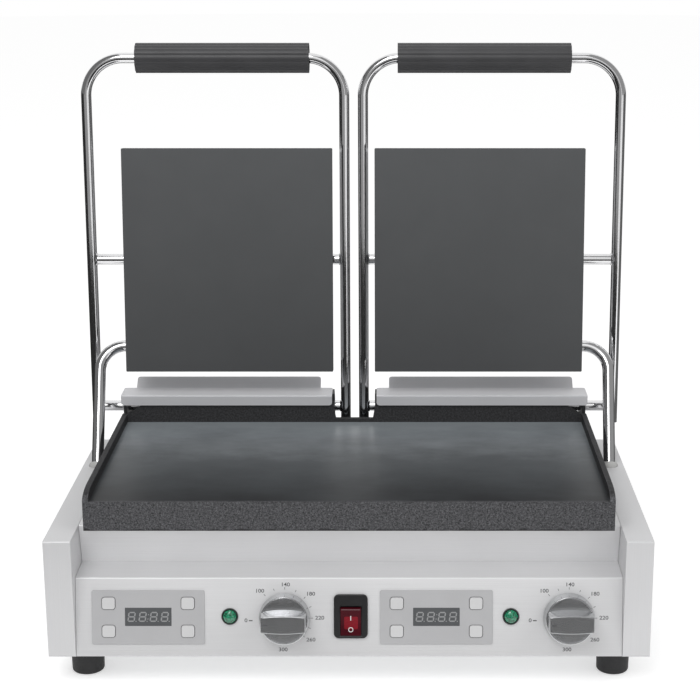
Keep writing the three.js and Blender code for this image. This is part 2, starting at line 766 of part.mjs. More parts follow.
function switchHousing() {
  const bezelOutline = roundedRectangle(switchSize.bezelWidth, switchSize.bezelHeight, switchSize.corner);
  const bezel = plateTowardsFront(bezelOutline, switchSize.bezel, -seatGap);
  const bodyLength = switchSize.bodyDepth + seatGap + sheet / 2;
  const body = box(switchSize.bodyWidth, bodyLength, switchSize.bodyHeight,
    0, bodyLength / 2 - seatGap - sheet / 2, 0);
  const wellFront = switchSize.bezel + seatGap;
  const wellLength = switchSize.wellDepth + overrun;
  const well = box(switchSize.wellWidth, wellLength, switchSize.wellHeight,
    0, switchSize.wellDepth - wellFront - wellLength / 2, -switchSize.wellDrop);
  return cut(join([bezel, body]), [well]);
}

// The rocker is drawn in its own pivot frame, with z along its length and -y outwards
function rockerCap() {
  const half = rocker.length / 2;
  const shape = new THREE.Shape();
  shape.moveTo(rocker.axisDepth / 2, -half / 2);
  shape.lineTo(rocker.axisDepth / 2, half / 2);
  shape.lineTo(-rocker.axisDepth / 2, half);
  shape.lineTo(-rocker.thickness, half);
  shape.quadraticCurveTo(-rocker.thickness + 2 * rocker.dish, 0, -rocker.thickness, -half);
  shape.lineTo(-rocker.axisDepth / 2, -half);
  shape.closePath();
  return barAlongX(shape, rocker.width, 0, easeSteps);
}

// Hinge parts on the deck
const hingeZ = deckTop + hingeHeight;
const coverCreaseY = plateRearY - rearRim.thickness - springCover.frontGap - springCover.wallThickness;
const coverUnderside = cookingTop + rearRim.height + seatGap;

// The foot of a bracket turns towards the grill's outside or its middle
function hingeBracket(x, footTurn) {
  const base = deckTop + seatGap;
  const frontY = plateRearY + bracket.plateGap;
  const rearY = bodyDepth - sheet;
  const top = coverUnderside - bracket.topGap;
  const nose = bracket.noseRadius;
  const rearEdge = hingeY + nose;
  const flat = coverCreaseY + springCover.flatLength;
  const shape = polygon([
    [frontY, base],
    [rearY, base],
    [rearEdge, hingeZ - nose],
    [rearEdge, hingeZ + nose / 2],
    [flat, top],
    [frontY, top],
  ]);
  const web = barAlongX(shape, bracket.thickness, x);
  const flange = box(bracket.footWidth, rearY - frontY, bracket.flange,
    x + (footTurn * (bracket.footWidth - bracket.thickness)) / 2,
    (frontY + rearY) / 2, base + bracket.flange / 2);
  const hole = cylinderX(hingeRodRadius + hingeFit, 4 * bracket.thickness, medium, x, hingeY, hingeZ);
  return cut(join([web, flange]), [hole]);
}

function springWire(side) {
  const stations = [];
  const legFoot = deckTop + seatGap + spring.wireRadius;
  const down = new THREE.Vector3(0, 0, 1);
  const startY = hingeY - spring.meanRadius;
  stations.push({ point: new THREE.Vector3(side * spring.startX, startY, legFoot), tangent: down });
  const steps = spring.turns * springSteps;
  for (let i = 0; i <= steps; i += 1) {
    const angle = (2 * Math.PI * i) / springSteps;
    const x = side * (spring.startX + (spring.pitch * i) / springSteps);
    const point = new THREE.Vector3(x, hingeY - spring.meanRadius * Math.cos(angle),
      hingeZ + spring.meanRadius * Math.sin(angle));
    const tangent = new THREE.Vector3((side * spring.pitch) / (2 * Math.PI),
      spring.meanRadius * Math.sin(angle), spring.meanRadius * Math.cos(angle)).normalize();
    stations.push({ point, tangent });
  }
  return new Route(stations);
}

// Least distance between stretches of wire at least half a turn apart, less the wire itself
function leastWireGap(route) {
  const points = route.stations.map((station) => station.point);
  let least = Infinity;
  for (let i = 0; i < points.length; i += 1) {
    for (let j = i + springSteps / 2; j < points.length; j += 1) {
      least = Math.min(least, points[i].distanceTo(points[j]));
    }
  }
  return least - 2 * spring.wireRadius;
}

function hingeRod(side) {
  const inner = innerArmX + armRadius + seatGap;
  const outer = outerArmX - armRadius - seatGap;
  const bar = cylinderX(hingeRodRadius, outer - inner, medium, (side * (inner + outer)) / 2);
  const springEnd = spring.startX + spring.pitch * spring.turns;
  const collarStart = springEnd + spring.wireRadius + seatGap;
  const disc = cylinderX(collar.radius, collar.width, medium, side * (collarStart + collar.width / 2));
  const lugLength = collar.width + 2 * spring.wireRadius;
  const lug = box(lugLength, collar.lugWidth, collar.lugDepth,
    side * (collarStart + collar.width - lugLength / 2), -spring.meanRadius,
    seatGap + collar.lugDepth / 2);
  return toGeometry(join([bar, disc, lug]));
}

function springShield(side) {
  const crease = coverUnderside + springCover.wallThickness;
  const flatEnd = coverCreaseY + springCover.flatLength;
  const line = [
    [flatEnd + springCover.riseRun, crease + springCover.rise],
    [flatEnd, crease],
    [coverCreaseY, crease],
    [coverCreaseY, crease - springCover.lip],
  ];
  const wideOuter = bodyHalfInside - springCover.wideOuterInset;
  const narrowOuter = bodyHalfInside - springCover.narrowOuterInset;
  const width = wideOuter - springCover.wideInner;
  const middle = (wideOuter + springCover.wideInner) / 2;
  const bent = barAlongX(foldedSheet(line, -springCover.wallThickness), width, side * middle);
  const trims = [
    [springCover.wideInner, springCover.narrowInner],
    [narrowOuter, wideOuter],
  ].map(([from, to]) => {
    const outerOverrun = from === springCover.wideInner ? -overrun : overrun;
    const length = to - from + overrun;
    return box(length, 2 * springCover.flatLength, 2 * springCover.flatLength,
      side * ((from + to + outerOverrun) / 2), flatEnd + springCover.flatLength - seatGap, crease);
  });
  return cut(bent, trims);
}

// Lids, drawn in a frame on the hinge axis whose z runs up the arms
function lidFrame(side) {
  const route = bentRoute([
    [side * outerArmX, 0, -armStub],
    [side * outerArmX, 0, handleReach],
    [side * innerArmX, 0, handleReach],
    [side * innerArmX, 0, -armStub],
  ], handleBend);
  return rod(route, armRadius, coarse);
}

function crossbar(side) {
  const inner = innerArmX + armRadius + seatGap;
  const outer = outerArmX - armRadius - seatGap;
  return cylinderX(crossbarRadius, outer - inner, medium, (side * (inner + outer)) / 2, 0, crossbarReach);
}

function gripSleeve(side) {
  const points = [];
  const steps = grip.flutes * fluteSteps;
  for (let i = 0; i < steps; i += 1) {
    const angle = (2 * Math.PI * i) / steps;
    const wave = (1 - Math.cos(grip.flutes * angle)) / 2;
    const radius = grip.radius - grip.fluteDepth * wave;
    points.push([radius * Math.cos(angle), radius * Math.sin(angle)]);
  }
  const shape = polygon(points);
  shape.holes.push(new THREE.Path(regularOutline(armRadius + grip.wallFit, medium).getPoints()));
  const start = innerArmX + grip.innerGap;
  const end = outerArmX - grip.outerGap;
  return barAlongX(shape, end - start, (side * (start + end)) / 2).translate(0, 0, handleReach);
}

// Upper plates, drawn in a frame on the crossbar whose z runs up the plate and -y is its front
const plateBack = -plateFaceAhead + upperPlate.thickness;
const housingFront = plateBack + seatGap;

function upperCasting() {
  const outline = roundedRectangle(upperPlateWidth, upperPlate.length, upperPlate.corner);
  return plateTowardsFront(outline, upperPlate.thickness, plateBack).translate(0, 0, plateCentreBeyond);
}

function housingShell(side) {
  const width = upperPlateWidth - 2 * housing.inset;
  const length = upperPlate.length - 2 * housing.endInset;
  const outline = roundedRectangle(width, length, housing.corner);
  const inner = roundedRectangle(width - 2 * housing.wall, length - 2 * housing.wall,
    housing.corner - housing.wall);
  const back = housingFront + housing.depth;
  const shell = plateTowardsFront(outline, housing.depth, back).translate(0, 0, plateCentreBeyond);
  const hollow = plateTowardsFront(inner, housing.depth, back - housing.wall)
    .translate(0, 0, plateCentreBeyond);
  const shaftHole = cylinderX(crossbarRadius + seatGap, width + 2 * overrun, medium);
  const end = conduitEnd();
  const window = cylinderX(conduitWindow.radius, 2 * overrun + 2 * housing.wall, medium,
    (side * width) / 2, end.ahead + conduitWindow.behind, end.up);
  return cut(shell, [hollow, shaftHole, window]);
}

function upperHeater() {
  const y = plateBack + seatGap + elementRadius;
  const route = elementRoute(upperPlateWidth / 2 - upperElement.sideMargin,
    upperPlate.length / 2 - upperElement.endMargin, upperElement.tailRise);
  return rod(route, elementRadius, elementSides)
    .rotateX(-Math.PI / 2)
    .translate(0, y, plateCentreBeyond);
}

// Conduits, drawn in world axes; the straight leg points from the bush to the lid
const bushZ = deckTop - sheet / 2;

function conduitDirection(side) {
  return new THREE.Vector3(side * conduitSplay, Math.sin(conduitLean), Math.cos(conduitLean)).normalize();
}

function conduitCorner(side) {
  return new THREE.Vector3(side * conduitHoleX, conduitHoleY, bushZ)
    .addScaledVector(conduitDirection(side), conduitRun);
}

function conduitTube(side) {
  const direction = conduitDirection(side);
  const tail = new THREE.Vector3(side * conduitHoleX, conduitHoleY, bushZ)
    .addScaledVector(direction, -conduitTail);
  const corner = conduitCorner(side);
  const endX = side * (upperPlateX + upperPlateWidth / 2 - housing.inset - conduitInside);
  const route = bentRoute([tail.toArray(), corner.toArray(), [endX, corner.y, corner.z]], conduitBend);
  return rod(route, conduitRadius, coarse);
}

// Where the conduit's end lies in the upper plate's frame
function conduitEnd() {
  const corner = conduitCorner(1);
  const crossY = hingeY + crossbarReach * Math.sin(armLean);
  const crossZ = hingeZ + crossbarReach * Math.cos(armLean);
  const ahead = (corner.y - crossY) * Math.cos(plateLean) - (corner.z - crossZ) * Math.sin(plateLean);
  const up = (corner.y - crossY) * Math.sin(plateLean) + (corner.z - crossZ) * Math.cos(plateLean);
  return { ahead, up };
}

function ballBush(side) {
  const arc = [];
  const reach = Math.asin(bush.halfHeight / bush.ballRadius);
  for (let i = 0; i <= ballSteps; i += 1) {
    const angle = -reach + (2 * reach * i) / ballSteps;
    arc.push([bush.ballRadius * Math.cos(angle), bush.ballRadius * Math.sin(angle)]);
  }
  const pairs = [[bush.bore, -bush.halfHeight], ...arc, [bush.bore, bush.halfHeight],
    [bush.bore, -bush.halfHeight]];
  const up = new THREE.Vector3(0, 0, 1);
  const turn = new THREE.Quaternion().setFromUnitVectors(up, conduitDirection(side));
  return turned(pairs, medium).applyQuaternion(turn)
    .translate(side * conduitHoleX, conduitHoleY, bushZ);
}

// Assembly
const grill = new THREE.Group();
const sides = [['left', -1], ['right', 1]];

for (const [label, side] of sides) {
  grill.add(piece(`${label}_side_cover`, sideCover(side), 'brushedSteel'));
}
grill.add(piece('fascia_deck', fasciaDeck(), 'brushedSteel'));
grill.add(piece('base_pan', basePan(), 'galvanised'));
grill.add(piece('rear_panel', rearPanel(), 'brushedSteel'));
grill.add(piece('cord_gland', cordGland(), 'blackPlastic'));
grill.add(piece('lower_plate', lowerCasting(), 'castIron'));
grill.add(piece('lower_element', lowerHeater(), 'elementSheath'));

for (const [label, side] of sides) {
  for (const [end, y] of [['front', footInset], ['rear', bodyDepth - footInset]]) {
    const mesh = piece(`foot_${end}_${label}`, footBody(), 'rubber');
    mesh.position.set(side * footX, y, 0);
    grill.add(mesh);
  }
}

sides.forEach(([label], i) => {
  const centre = overlayCentres[i];
  panel.add(piece(`${label}_timer_overlay`, timerOverlay(centre), 'overlayFilm'));
  panel.add(piece(`${label}_timer_module`, displayModule(centre), 'displayGlass'));
  keyOffsets.forEach((offset, index) => {
    const key = piece(`${label}_timer_key_${index + 1}`, keyButton(), 'keyCap');
    key.position.set(centre + offset.x, 0, offset.z - overlayDown);
    panel.add(key);
  });
  const light = piece(`${label}_lamp`, signalLamp(), 'greenLens');
  light.position.set(lampX[i], 0, -lampDown);
  panel.add(light);
  const turnedParts = [
    piece(`${label}_knob`, knobBody(), 'knobSilver'),
    piece(`${label}_control_shaft`, controlShaft(), 'polishedSteel'),
    piece(`${label}_thermostat`, thermostatBody(), 'galvanised'),
  ];
  for (const part of turnedParts) {
    part.position.set(knobX[i], 0, -knobDown);
    panel.add(part);
  }
});

const housingMesh = piece('switch_housing', switchHousing(), 'blackPlastic');
housingMesh.position.set(switchX, 0, -switchDown);
panel.add(housingMesh);
const rockerMesh = piece('switch_rocker', rockerCap(), 'redPlastic');
rockerMesh.position.set(switchX, rocker.axisDepth / 2, -switchDown - switchSize.wellDrop);
rockerMesh.rotation.x = rockerTilt;
panel.add(rockerMesh);
grill.add(panel);

for (const [label, side] of sides) {
  const outerBracketX = bodyHalfInside - outerBracketInset;
  grill.add(piece(`${label}_inner_hinge_bracket`, hingeBracket(side * innerBracketX, side), 'darkSheet'));
  grill.add(piece(`${label}_outer_hinge_bracket`, hingeBracket(side * outerBracketX, -side), 'darkSheet'));
  const wire = springWire(side);
  console.log(`${label} spring, least gap of the wire to itself: ${leastWireGap(wire).toFixed(2)} mm`);
  grill.add(piece(`${label}_torsion_spring`, rod(wire, spring.wireRadius, springSides), 'springSteel'));
  grill.add(piece(`${label}_spring_cover`, springShield(side), 'brushedSteel'));

  const lid = new THREE.Group();
  lid.position.set(0, hingeY, hingeZ);
  const shaft = piece(`${label}_hinge_rod`, hingeRod(side), 'polishedSteel');
  lid.add(shaft);
  const leaning = new THREE.Group();
  leaning.rotation.x = -armLean;
  leaning.add(piece(`${label}_lid_frame`, lidFrame(side), 'polishedSteel'));
  leaning.add(piece(`${label}_crossbar`, crossbar(side), 'polishedSteel'));
  leaning.add(piece(`${label}_grip`, gripSleeve(side), 'blackPlastic'));
  lid.add(leaning);

  const head = new THREE.Group();
  head.position.set(side * upperPlateX, crossbarReach * Math.sin(armLean), crossbarReach * Math.cos(armLean));
  head.rotation.x = -plateLean;
  head.add(piece(`${label}_upper_plate`, upperCasting(), 'castIron'));
  head.add(piece(`${label}_upper_housing`, housingShell(side), 'brushedSteel'));
  head.add(piece(`${label}_upper_element`, upperHeater(), 'elementSheath'));
  lid.add(head);
  grill.add(lid);

  grill.add(piece(`${label}_conduit`, conduitTube(side), 'polishedSteel'));
  grill.add(piece(`${label}_conduit_bush`, ballBush(side), 'whiteBush'));
}

// The origin goes under the middle of the whole grill
grill.updateMatrixWorld(true);
const extent = new THREE.Box3().setFromObject(grill, true);
const middle = extent.getCenter(new THREE.Vector3());
grill.position.set(-middle.x, -middle.y, -extent.min.z);

export default grill;
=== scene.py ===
"""Looks of a double contact grill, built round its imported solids. Drawing sizes are in millimetres."""
import json
import logging
import math
from dataclasses import dataclass
from enum import Enum
from typing import Callable, Protocol, Sequence

import bmesh
import bpy
from mathutils import Matrix, Vector

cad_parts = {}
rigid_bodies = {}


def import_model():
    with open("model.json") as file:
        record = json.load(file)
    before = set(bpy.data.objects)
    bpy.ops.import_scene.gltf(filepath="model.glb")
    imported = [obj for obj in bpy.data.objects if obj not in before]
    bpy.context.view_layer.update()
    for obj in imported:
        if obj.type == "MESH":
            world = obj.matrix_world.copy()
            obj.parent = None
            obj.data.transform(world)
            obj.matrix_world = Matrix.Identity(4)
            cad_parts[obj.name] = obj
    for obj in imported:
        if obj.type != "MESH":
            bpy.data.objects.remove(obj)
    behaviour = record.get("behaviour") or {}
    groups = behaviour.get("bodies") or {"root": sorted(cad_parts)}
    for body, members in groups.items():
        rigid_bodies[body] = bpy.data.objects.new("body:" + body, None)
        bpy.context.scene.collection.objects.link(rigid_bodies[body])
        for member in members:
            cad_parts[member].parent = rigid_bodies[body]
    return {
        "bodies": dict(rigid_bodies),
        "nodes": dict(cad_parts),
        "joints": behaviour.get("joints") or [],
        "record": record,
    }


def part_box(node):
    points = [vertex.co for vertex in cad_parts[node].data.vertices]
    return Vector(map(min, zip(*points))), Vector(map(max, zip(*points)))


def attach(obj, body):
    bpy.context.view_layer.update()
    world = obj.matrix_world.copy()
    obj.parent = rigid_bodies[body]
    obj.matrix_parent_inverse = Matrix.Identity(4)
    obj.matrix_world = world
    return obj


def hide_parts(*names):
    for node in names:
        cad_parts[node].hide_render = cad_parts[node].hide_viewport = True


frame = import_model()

log = logging.getLogger("contact_grill")
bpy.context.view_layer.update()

MM = 0.001
Colour = tuple[float, float, float]
Station = tuple[Vector, Vector]
Outline = list[tuple[float, float]]
Socket = bpy.types.NodeSocket
Source = Socket | float | Sequence[float]
WHITE: Colour = (1.0, 1.0, 1.0)
SIDES = (("left", -1), ("right", 1))

# The drawing frame has y = 0 at the front of the side covers and z = 0 under the feet
FRONT_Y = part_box("left_side_cover")[0].y
DRAWING = Matrix.Translation((0.0, FRONT_Y, 0.0)) @ Matrix.Scale(MM, 4)

# Turns for pieces that are drawn standing on z = 0
OUTWARD, REARWARD, DOWNWARD = (Matrix.Rotation(angle, 4, "X") for angle in (math.pi / 2, -math.pi / 2, math.pi))

# Radius of a turned profile's ends on the axis, which closes the piece without a point
AXIS = 0.01


def move(x: float, y: float, z: float) -> Matrix:
    """Matrix that moves by a distance along each axis."""
    return Matrix.Translation((x, y, z))


@dataclass(frozen=True)
class Body:
    """Sizes that several sub-assemblies share. Those ending in down are measured from the panel's top edge."""

    depth: float = 297.0
    foot_height: float = 30.0
    deck_top: float = 143.0
    panel_setback: float = 0.8
    panel_length: float = 73.4
    panel_tilt: float = math.radians(11.0)
    overlay_down: float = 36.4
    window_down: float = 36.0
    key_spread: tuple[float, float] = (72.4, 25.9)
    lamp_down: float = 35.7
    dial_down: float = 37.3
    switch_x: float = 1.5
    switch_down: float = 35.4
    hinge_y: float = 293.0
    hinge_z: float = 181.2
    arm_lean: float = math.radians(3.15)
    crossbar_reach: float = 156.9

    def panel_frame(self, x: float, down: float) -> Matrix:
        """Frame on the panel's outer face: x across, z up the slope, y into the body.

        Args:
            x: place across the panel.
            down: distance down the slope from the panel's top edge.

        Returns:
            Matrix from that frame's millimetres to the row frame's metres.
        """
        top_y = self.panel_setback + self.panel_length * math.sin(self.panel_tilt)
        top_z = self.foot_height + self.panel_length * math.cos(self.panel_tilt)
        return DRAWING @ move(0, top_y, top_z) @ Matrix.Rotation(-self.panel_tilt, 4, "X") @ move(x, 0, -down)

    def key_places(self) -> list[tuple[float, float]]:
        """Middles of the four keys from the overlay's middle, in order."""
        across, up = self.key_spread
        return [(sx * across / 2, sz * up / 2) for sz in (1, -1) for sx in (-1, 1)]

    def hinge_frame(self) -> Matrix:
        """Frame on the hinge axis, with upright axes."""
        return DRAWING @ move(0, self.hinge_y, self.hinge_z)

    def arm_frame(self) -> Matrix:
        """Frame on the hinge axis whose z runs up the arms of the open lid."""
        return self.hinge_frame() @ Matrix.Rotation(-self.arm_lean, 4, "X")


@dataclass(frozen=True)
class Coil:
    """Sizes of a torsion spring, which the shaft's collar has to clear."""

    start: float = 60.0
    pitch: float = 4.8
    turns: int = 12
    radius: float = 11.0
    wire: float = 1.75
    gap: float = 0.3

    def collar_start(self) -> float:
        """Where the collar beyond the coil begins."""
        return self.start + self.pitch * self.turns + self.wire + self.gap


BODY = Body()
COIL = Coil()

# Places of the overlay, lamp and knob of each half, across the panel
PLACES = {"left": (-183.5, -109.0, -58.9), "right": (79.7, 147.8, 200.8)}


# Shape helpers
def quarter(steps: int) -> list[float]:
    """Angles from zero to a right angle."""
    return [i / steps * math.pi / 2 for i in range(steps + 1)]


def rounded_outline(width: float, height: float, corner: float, steps: int = 6) -> Outline:
    """Outline of a rectangle with round corners.

    Args:
        width: size across.
        height: size upwards.
        corner: corner radius.
        steps: steps on each corner.

    Returns:
        Points in order round the outline.
    """
    points: Outline = []
    for turn, (sx, sz) in enumerate(((1, 1), (-1, 1), (-1, -1), (1, -1))):
        for i in range(steps + 1):
            angle = (turn + i / steps) * math.pi / 2
            points.append((sx * (width / 2 - corner) + corner * math.cos(angle),
                           sz * (height / 2 - corner) + corner * math.sin(angle)))
    return points


def rectangle(width: float, height: float, corner: float, steps: int = 6) -> Callable[[float], Outline]:
    """Function that gives a round-cornered rectangle drawn in by an inset."""
    return lambda inset: rounded_outline(width - 2 * inset, height - 2 * inset, corner - inset, steps)


def circle_outline(radius: float, sides: int) -> Outline:
    """Points round a circle, the first on the x axis."""
    return [(radius * math.cos(math.tau * i / sides), radius * math.sin(math.tau * i / sides))
            for i in range(sides)]


def bent_path(corners: Sequence[Vector], bend_radius: float, steps: int) -> list[Station]:
    """Centre line of a bent rod.

    Args:
        corners: the rod's ends and the corners between its straights.
        bend_radius: radius of each bend.
        steps: steps on each bend.

    Returns:
        Points with their headings.
    """
    headings = [(there - here).normalized() for here, there in zip(corners, corners[1:])]
    stations = [(corners[0].copy(), headings[0])]
    for corner, before, after in zip(corners[1:], headings, headings[1:]):
        turn = before.angle(after)
        start = corner - before * bend_radius * math.tan(turn / 2)
        inward = (after - before * after.dot(before)).normalized()
        centre = start + inward * bend_radius
        for step in range(steps + 1):
            angle = turn * step / steps
            stations.append((centre - inward * bend_radius * math.cos(angle)
                             + before * bend_radius * math.sin(angle),
                             before * math.cos(angle) + inward * math.sin(angle)))
    stations.append((corners[-1].copy(), headings[-1]))
    return stations


def folded_path(line: Outline, thickness: float, bend: float, steps: int = 6) -> list[Station]:
    """Middle line of a folded sheet with round folds, in the y-z plane.

    Args:
        line: the sheet's outer line; the sheet lies to its right.
        thickness: the sheet's thickness.
        bend: radius of the folds at the middle line.
        steps: steps on each fold.

    Returns:
        Points with their headings.
    """
    points = [Vector((0.0, y, z)) for y, z in line]
    middle = []
    for i, point in enumerate(points):
        after = (points[min(i + 1, len(points) - 1)] - points[min(i, len(points) - 2)]).normalized()
        before = (points[max(i, 1)] - points[max(i - 1, 0)]).normalized()
        right = Vector((0.0, before.z + after.z, -before.y - after.y)).normalized()
        spread = right.dot(Vector((0.0, after.z, -after.y)))
        middle.append(point + right * thickness / 2 / spread)
    return bent_path(middle, bend, steps)


class Shape:
    """A mesh being built in the millimetres of its own frame."""

    def __init__(self) -> None:
        """Start with an empty mesh."""
        self.mesh = bmesh.new()

    def loft(self, rings: Sequence[Sequence[Vector]], ring_closed: bool = False) -> "Shape":
        """Skin a row of rings of equal count.

        Args:
            rings: rings of points, in order.
            ring_closed: whether the last ring joins the first; otherwise both ends are capped.

        Returns:
            This shape.
        """
        rows = [[self.mesh.verts.new(point) for point in ring] for ring in rings]
        count = len(rows[0])
        pairs = list(zip(rows, rows[1:]))
        if ring_closed:
            pairs.append((rows[-1], rows[0]))
        for low, high in pairs:
            for i in range(count):
                j = (i + 1) % count
                self.mesh.faces.new((low[i], low[j], high[j], high[i]))
        if not ring_closed:
            self.mesh.faces.new(list(reversed(rows[0])))
            self.mesh.faces.new(rows[-1])
        return self

    def turned(self, profile: Sequence[tuple[float, float]], sides: int,
               frame: Matrix | None = None, ring_closed: bool = False) -> "Shape":
        """Turn a profile round the z axis.

        Args:
            profile: pairs of radius and height.
            sides: steps round the axis.
            frame: where the turned piece goes, in this shape's frame.
            ring_closed: whether the profile closes on itself, as a ring's does.

        Returns:
            This shape.
        """
        place = frame or Matrix.Identity(4)
        rings = [[place @ Vector((x, y, height)) for x, y in circle_outline(radius, sides)]
                 for radius, height in profile]
        return self.loft(rings, ring_closed)

    def swept(self, path: Sequence[Station], radius: float, sides: int, chamfer: float) -> "Shape":
        """Sweep a round rod along a path, with its ends chamfered.

        Args:
            path: points with their headings.
            radius: the rod's radius.
            sides: steps round the rod.
            chamfer: size of the end chamfers.

        Returns:
            This shape.
        """
        heading = path[0][1]
        across = heading.orthogonal().normalized()
        rings = []
        for i, (point, direction) in enumerate(path):
            across = heading.rotation_difference(direction) @ across
            heading = direction
            up = direction.cross(across).normalized()
            stops = [(point, radius)]
            if i == 0:
                stops = [(point, radius - chamfer), (point + direction * chamfer, radius)]
            elif i == len(path) - 1:
                stops = [(point - direction * chamfer, radius), (point, radius - chamfer)]
            for centre, size in stops:
                rings.append([centre + across * a + up * b for a, b in circle_outline(size, sides)])
        return self.loft(rings)

    def folded(self, path: Sequence[Station], thickness: float,
               spans: Sequence[tuple[float, float]]) -> "Shape":
        """Folded sheet that runs across x.

        Args:
            path: the sheet's middle line, with its headings.
            thickness: the sheet's thickness.
            spans: the sheet's ends in x at each point of the path.

        Returns:
            This shape.
        """
        rings = []
        for (point, heading), (start, end) in zip(path, spans):
            out = Vector((0.0, -heading.z, heading.y)) * thickness / 2
            rings.append([Vector((x, 0.0, 0.0)) + point + out * way
                          for x, way in ((start, 1), (end, 1), (end, -1), (start, -1))])
        return self.loft(rings)

    def slab(self, outline: Callable[[float], Outline], back: float, front: float, edge: float = 0.0,
             steps: int = 1, frame: Matrix | None = None) -> "Shape":
        """Plate in the x-z plane whose front edge is rounded; the front lies towards -y.

        Args:
            outline: gives the plate's outline for an inset.
            back: y of the back face.
            front: y of the front face, less than back.
            edge: radius of the front edge.
            steps: steps on the edge.
            frame: where the plate goes, in this shape's frame.

        Returns:
            This shape.
        """
        place = frame or Matrix.Identity(4)
        levels = [(0.0, back)]
        levels += [(edge * (1 - math.cos(a)), front + edge * (1 - math.sin(a))) for a in quarter(steps)]
        return self.loft([[place @ Vector((x, y, z)) for x, z in outline(inset)] for inset, y in levels])

    def done(self, name: str, frame: Matrix, sharp: float = 32.0) -> bpy.types.Object:
        """Turn the shape into an object of the scene.

        Args:
            name: the piece's name.
            frame: matrix from this shape's millimetres to the row frame.
            sharp: edges whose faces meet at more degrees than this stay sharp.

        Returns:
            The new object.
        """
        bmesh.ops.transform(self.mesh, matrix=frame, verts=self.mesh.verts)
        bmesh.ops.recalc_face_normals(self.mesh, faces=self.mesh.faces)
        limit = math.radians(sharp)
        for face in self.mesh.faces:
            face.smooth = True
        for edge in self.mesh.edges:
            if edge.is_manifold and edge.calc_face_angle() > limit:
                edge.smooth = False
        data = bpy.data.meshes.new(name)
        self.mesh.to_mesh(data)
        self.mesh.free()
        return linked(name, data)


def linked(name: str, data: bpy.types.ID) -> bpy.types.Object:
    """Put mesh, lamp, camera or text data into the scene as an object.

    Args:
        name: the object's name.
        data: its data.

    Returns:
        The new object.
    """
    made = bpy.data.objects.new(name, data)
    bpy.context.scene.collection.objects.link(made)
    return made


def evaluated_mesh(piece: bpy.types.Object) -> bpy.types.Mesh:
    """New mesh of a piece as its modifiers leave it."""
    bpy.context.view_layer.update()
    return bpy.data.meshes.new_from_object(piece.evaluated_get(bpy.context.evaluated_depsgraph_get()))


def finish(piece: bpy.types.Object, material: bpy.types.Material) -> None:
    """Make a material the only one of a piece."""
    piece.data.materials.clear()
    piece.data.materials.append(material)


def even_shading(piece: bpy.types.Object, weight: int = 90) -> None:
    """Let the large faces of a piece set the normals at its soft edges."""
    normals = piece.modifiers.new("normals", "WEIGHTED_NORMAL")
    normals.weight, normals.keep_sharp = weight, True


def fit(piece: bpy.types.Object, material: bpy.types.Material, body: str,
        stands_for: Sequence[str] = ()) -> None:
    """Give a piece its finish and the body it rides on.

    Args:
        piece: the piece.
        material: its material.
        body: the body it rides on.
        stands_for: the CAD nodes that it replaces.
    """
    finish(piece, material)
    even_shading(piece)
    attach(piece, body)
    if stands_for:
        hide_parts(*stands_for)


def smooth_by_angle(limit: float = 35.0) -> bpy.types.NodeTree:
    """Node group that shades a mesh smooth except across its sharp edges.

    Args:
        limit: edges whose faces meet at fewer degrees than this are smooth.

    Returns:
        The group, which is made once.
    """
    known = bpy.data.node_groups.get("smooth_by_angle")
    if known:
        return known
    group = bpy.data.node_groups.new("smooth_by_angle", "GeometryNodeTree")
    for way in ("INPUT", "OUTPUT"):
        group.interface.new_socket("Geometry", in_out=way, socket_type="NodeSocketGeometry")
    entry, leave = group.nodes.new("NodeGroupInput"), group.nodes.new("NodeGroupOutput")
    faces, edges = (group.nodes.new("GeometryNodeSetShadeSmooth") for _ in range(2))
    faces.domain, edges.domain = "FACE", "EDGE"
    faces.inputs["Shade Smooth"].default_value = True
    angle = group.nodes.new("GeometryNodeInputMeshEdgeAngle")
    below = group.nodes.new("FunctionNodeCompare")
    below.data_type, below.operation = "FLOAT", "LESS_THAN"
    below.inputs["B"].default_value = math.radians(limit)
    for source, target in ((entry.outputs[0], faces.inputs["Geometry"]),
                           (faces.outputs[0], edges.inputs["Geometry"]),
                           (angle.outputs["Unsigned Angle"], below.inputs["A"]),
                           (below.outputs[0], edges.inputs["Shade Smooth"]),
                           (edges.outputs[0], leave.inputs[0])):
        group.links.new(source, target)
    return group


def dress(node: str, material: bpy.types.Material, edge: float = 0.0, steps: int = 2) -> None:
    """Give a CAD node its finish and soften its edges.

    Args:
        node: the node's name.
        material: its material.
        edge: radius of its softened edges in millimetres, or zero for none.
        steps: steps on those edges.
    """
    part = frame["nodes"][node]
    finish(part, material)
    part.modifiers.new("weld", "WELD").merge_threshold = 0.002 * MM
    if edge > 0:
        bevel = part.modifiers.new("edges", "BEVEL")
        bevel.width, bevel.segments = edge * MM, steps
        bevel.limit_method, bevel.angle_limit = "ANGLE", math.radians(28)
        bevel.use_clamp_overlap = True
        bevel.miter_outer = "MITER_ARC"
    part.modifiers.new("smooth", "NODES").node_group = smooth_by_angle()
    even_shading(part)


def carve(piece: bpy.types.Object, tools: Sequence[bpy.types.Object]) -> bpy.types.Object:
    """Cut tools out of a piece and remove the tools.

    Args:
        piece: the piece that is cut.
        tools: closed shapes that are taken away.

    Returns:
        The piece.
    """
    for tool in tools:
        cutter = piece.modifiers.new("cut", "BOOLEAN")
        cutter.operation, cutter.solver, cutter.object = "DIFFERENCE", "EXACT", tool
    result = evaluated_mesh(piece)
    piece.modifiers.clear()
    piece.data = result
    for tool in tools:
        bpy.data.objects.remove(tool)
    return piece


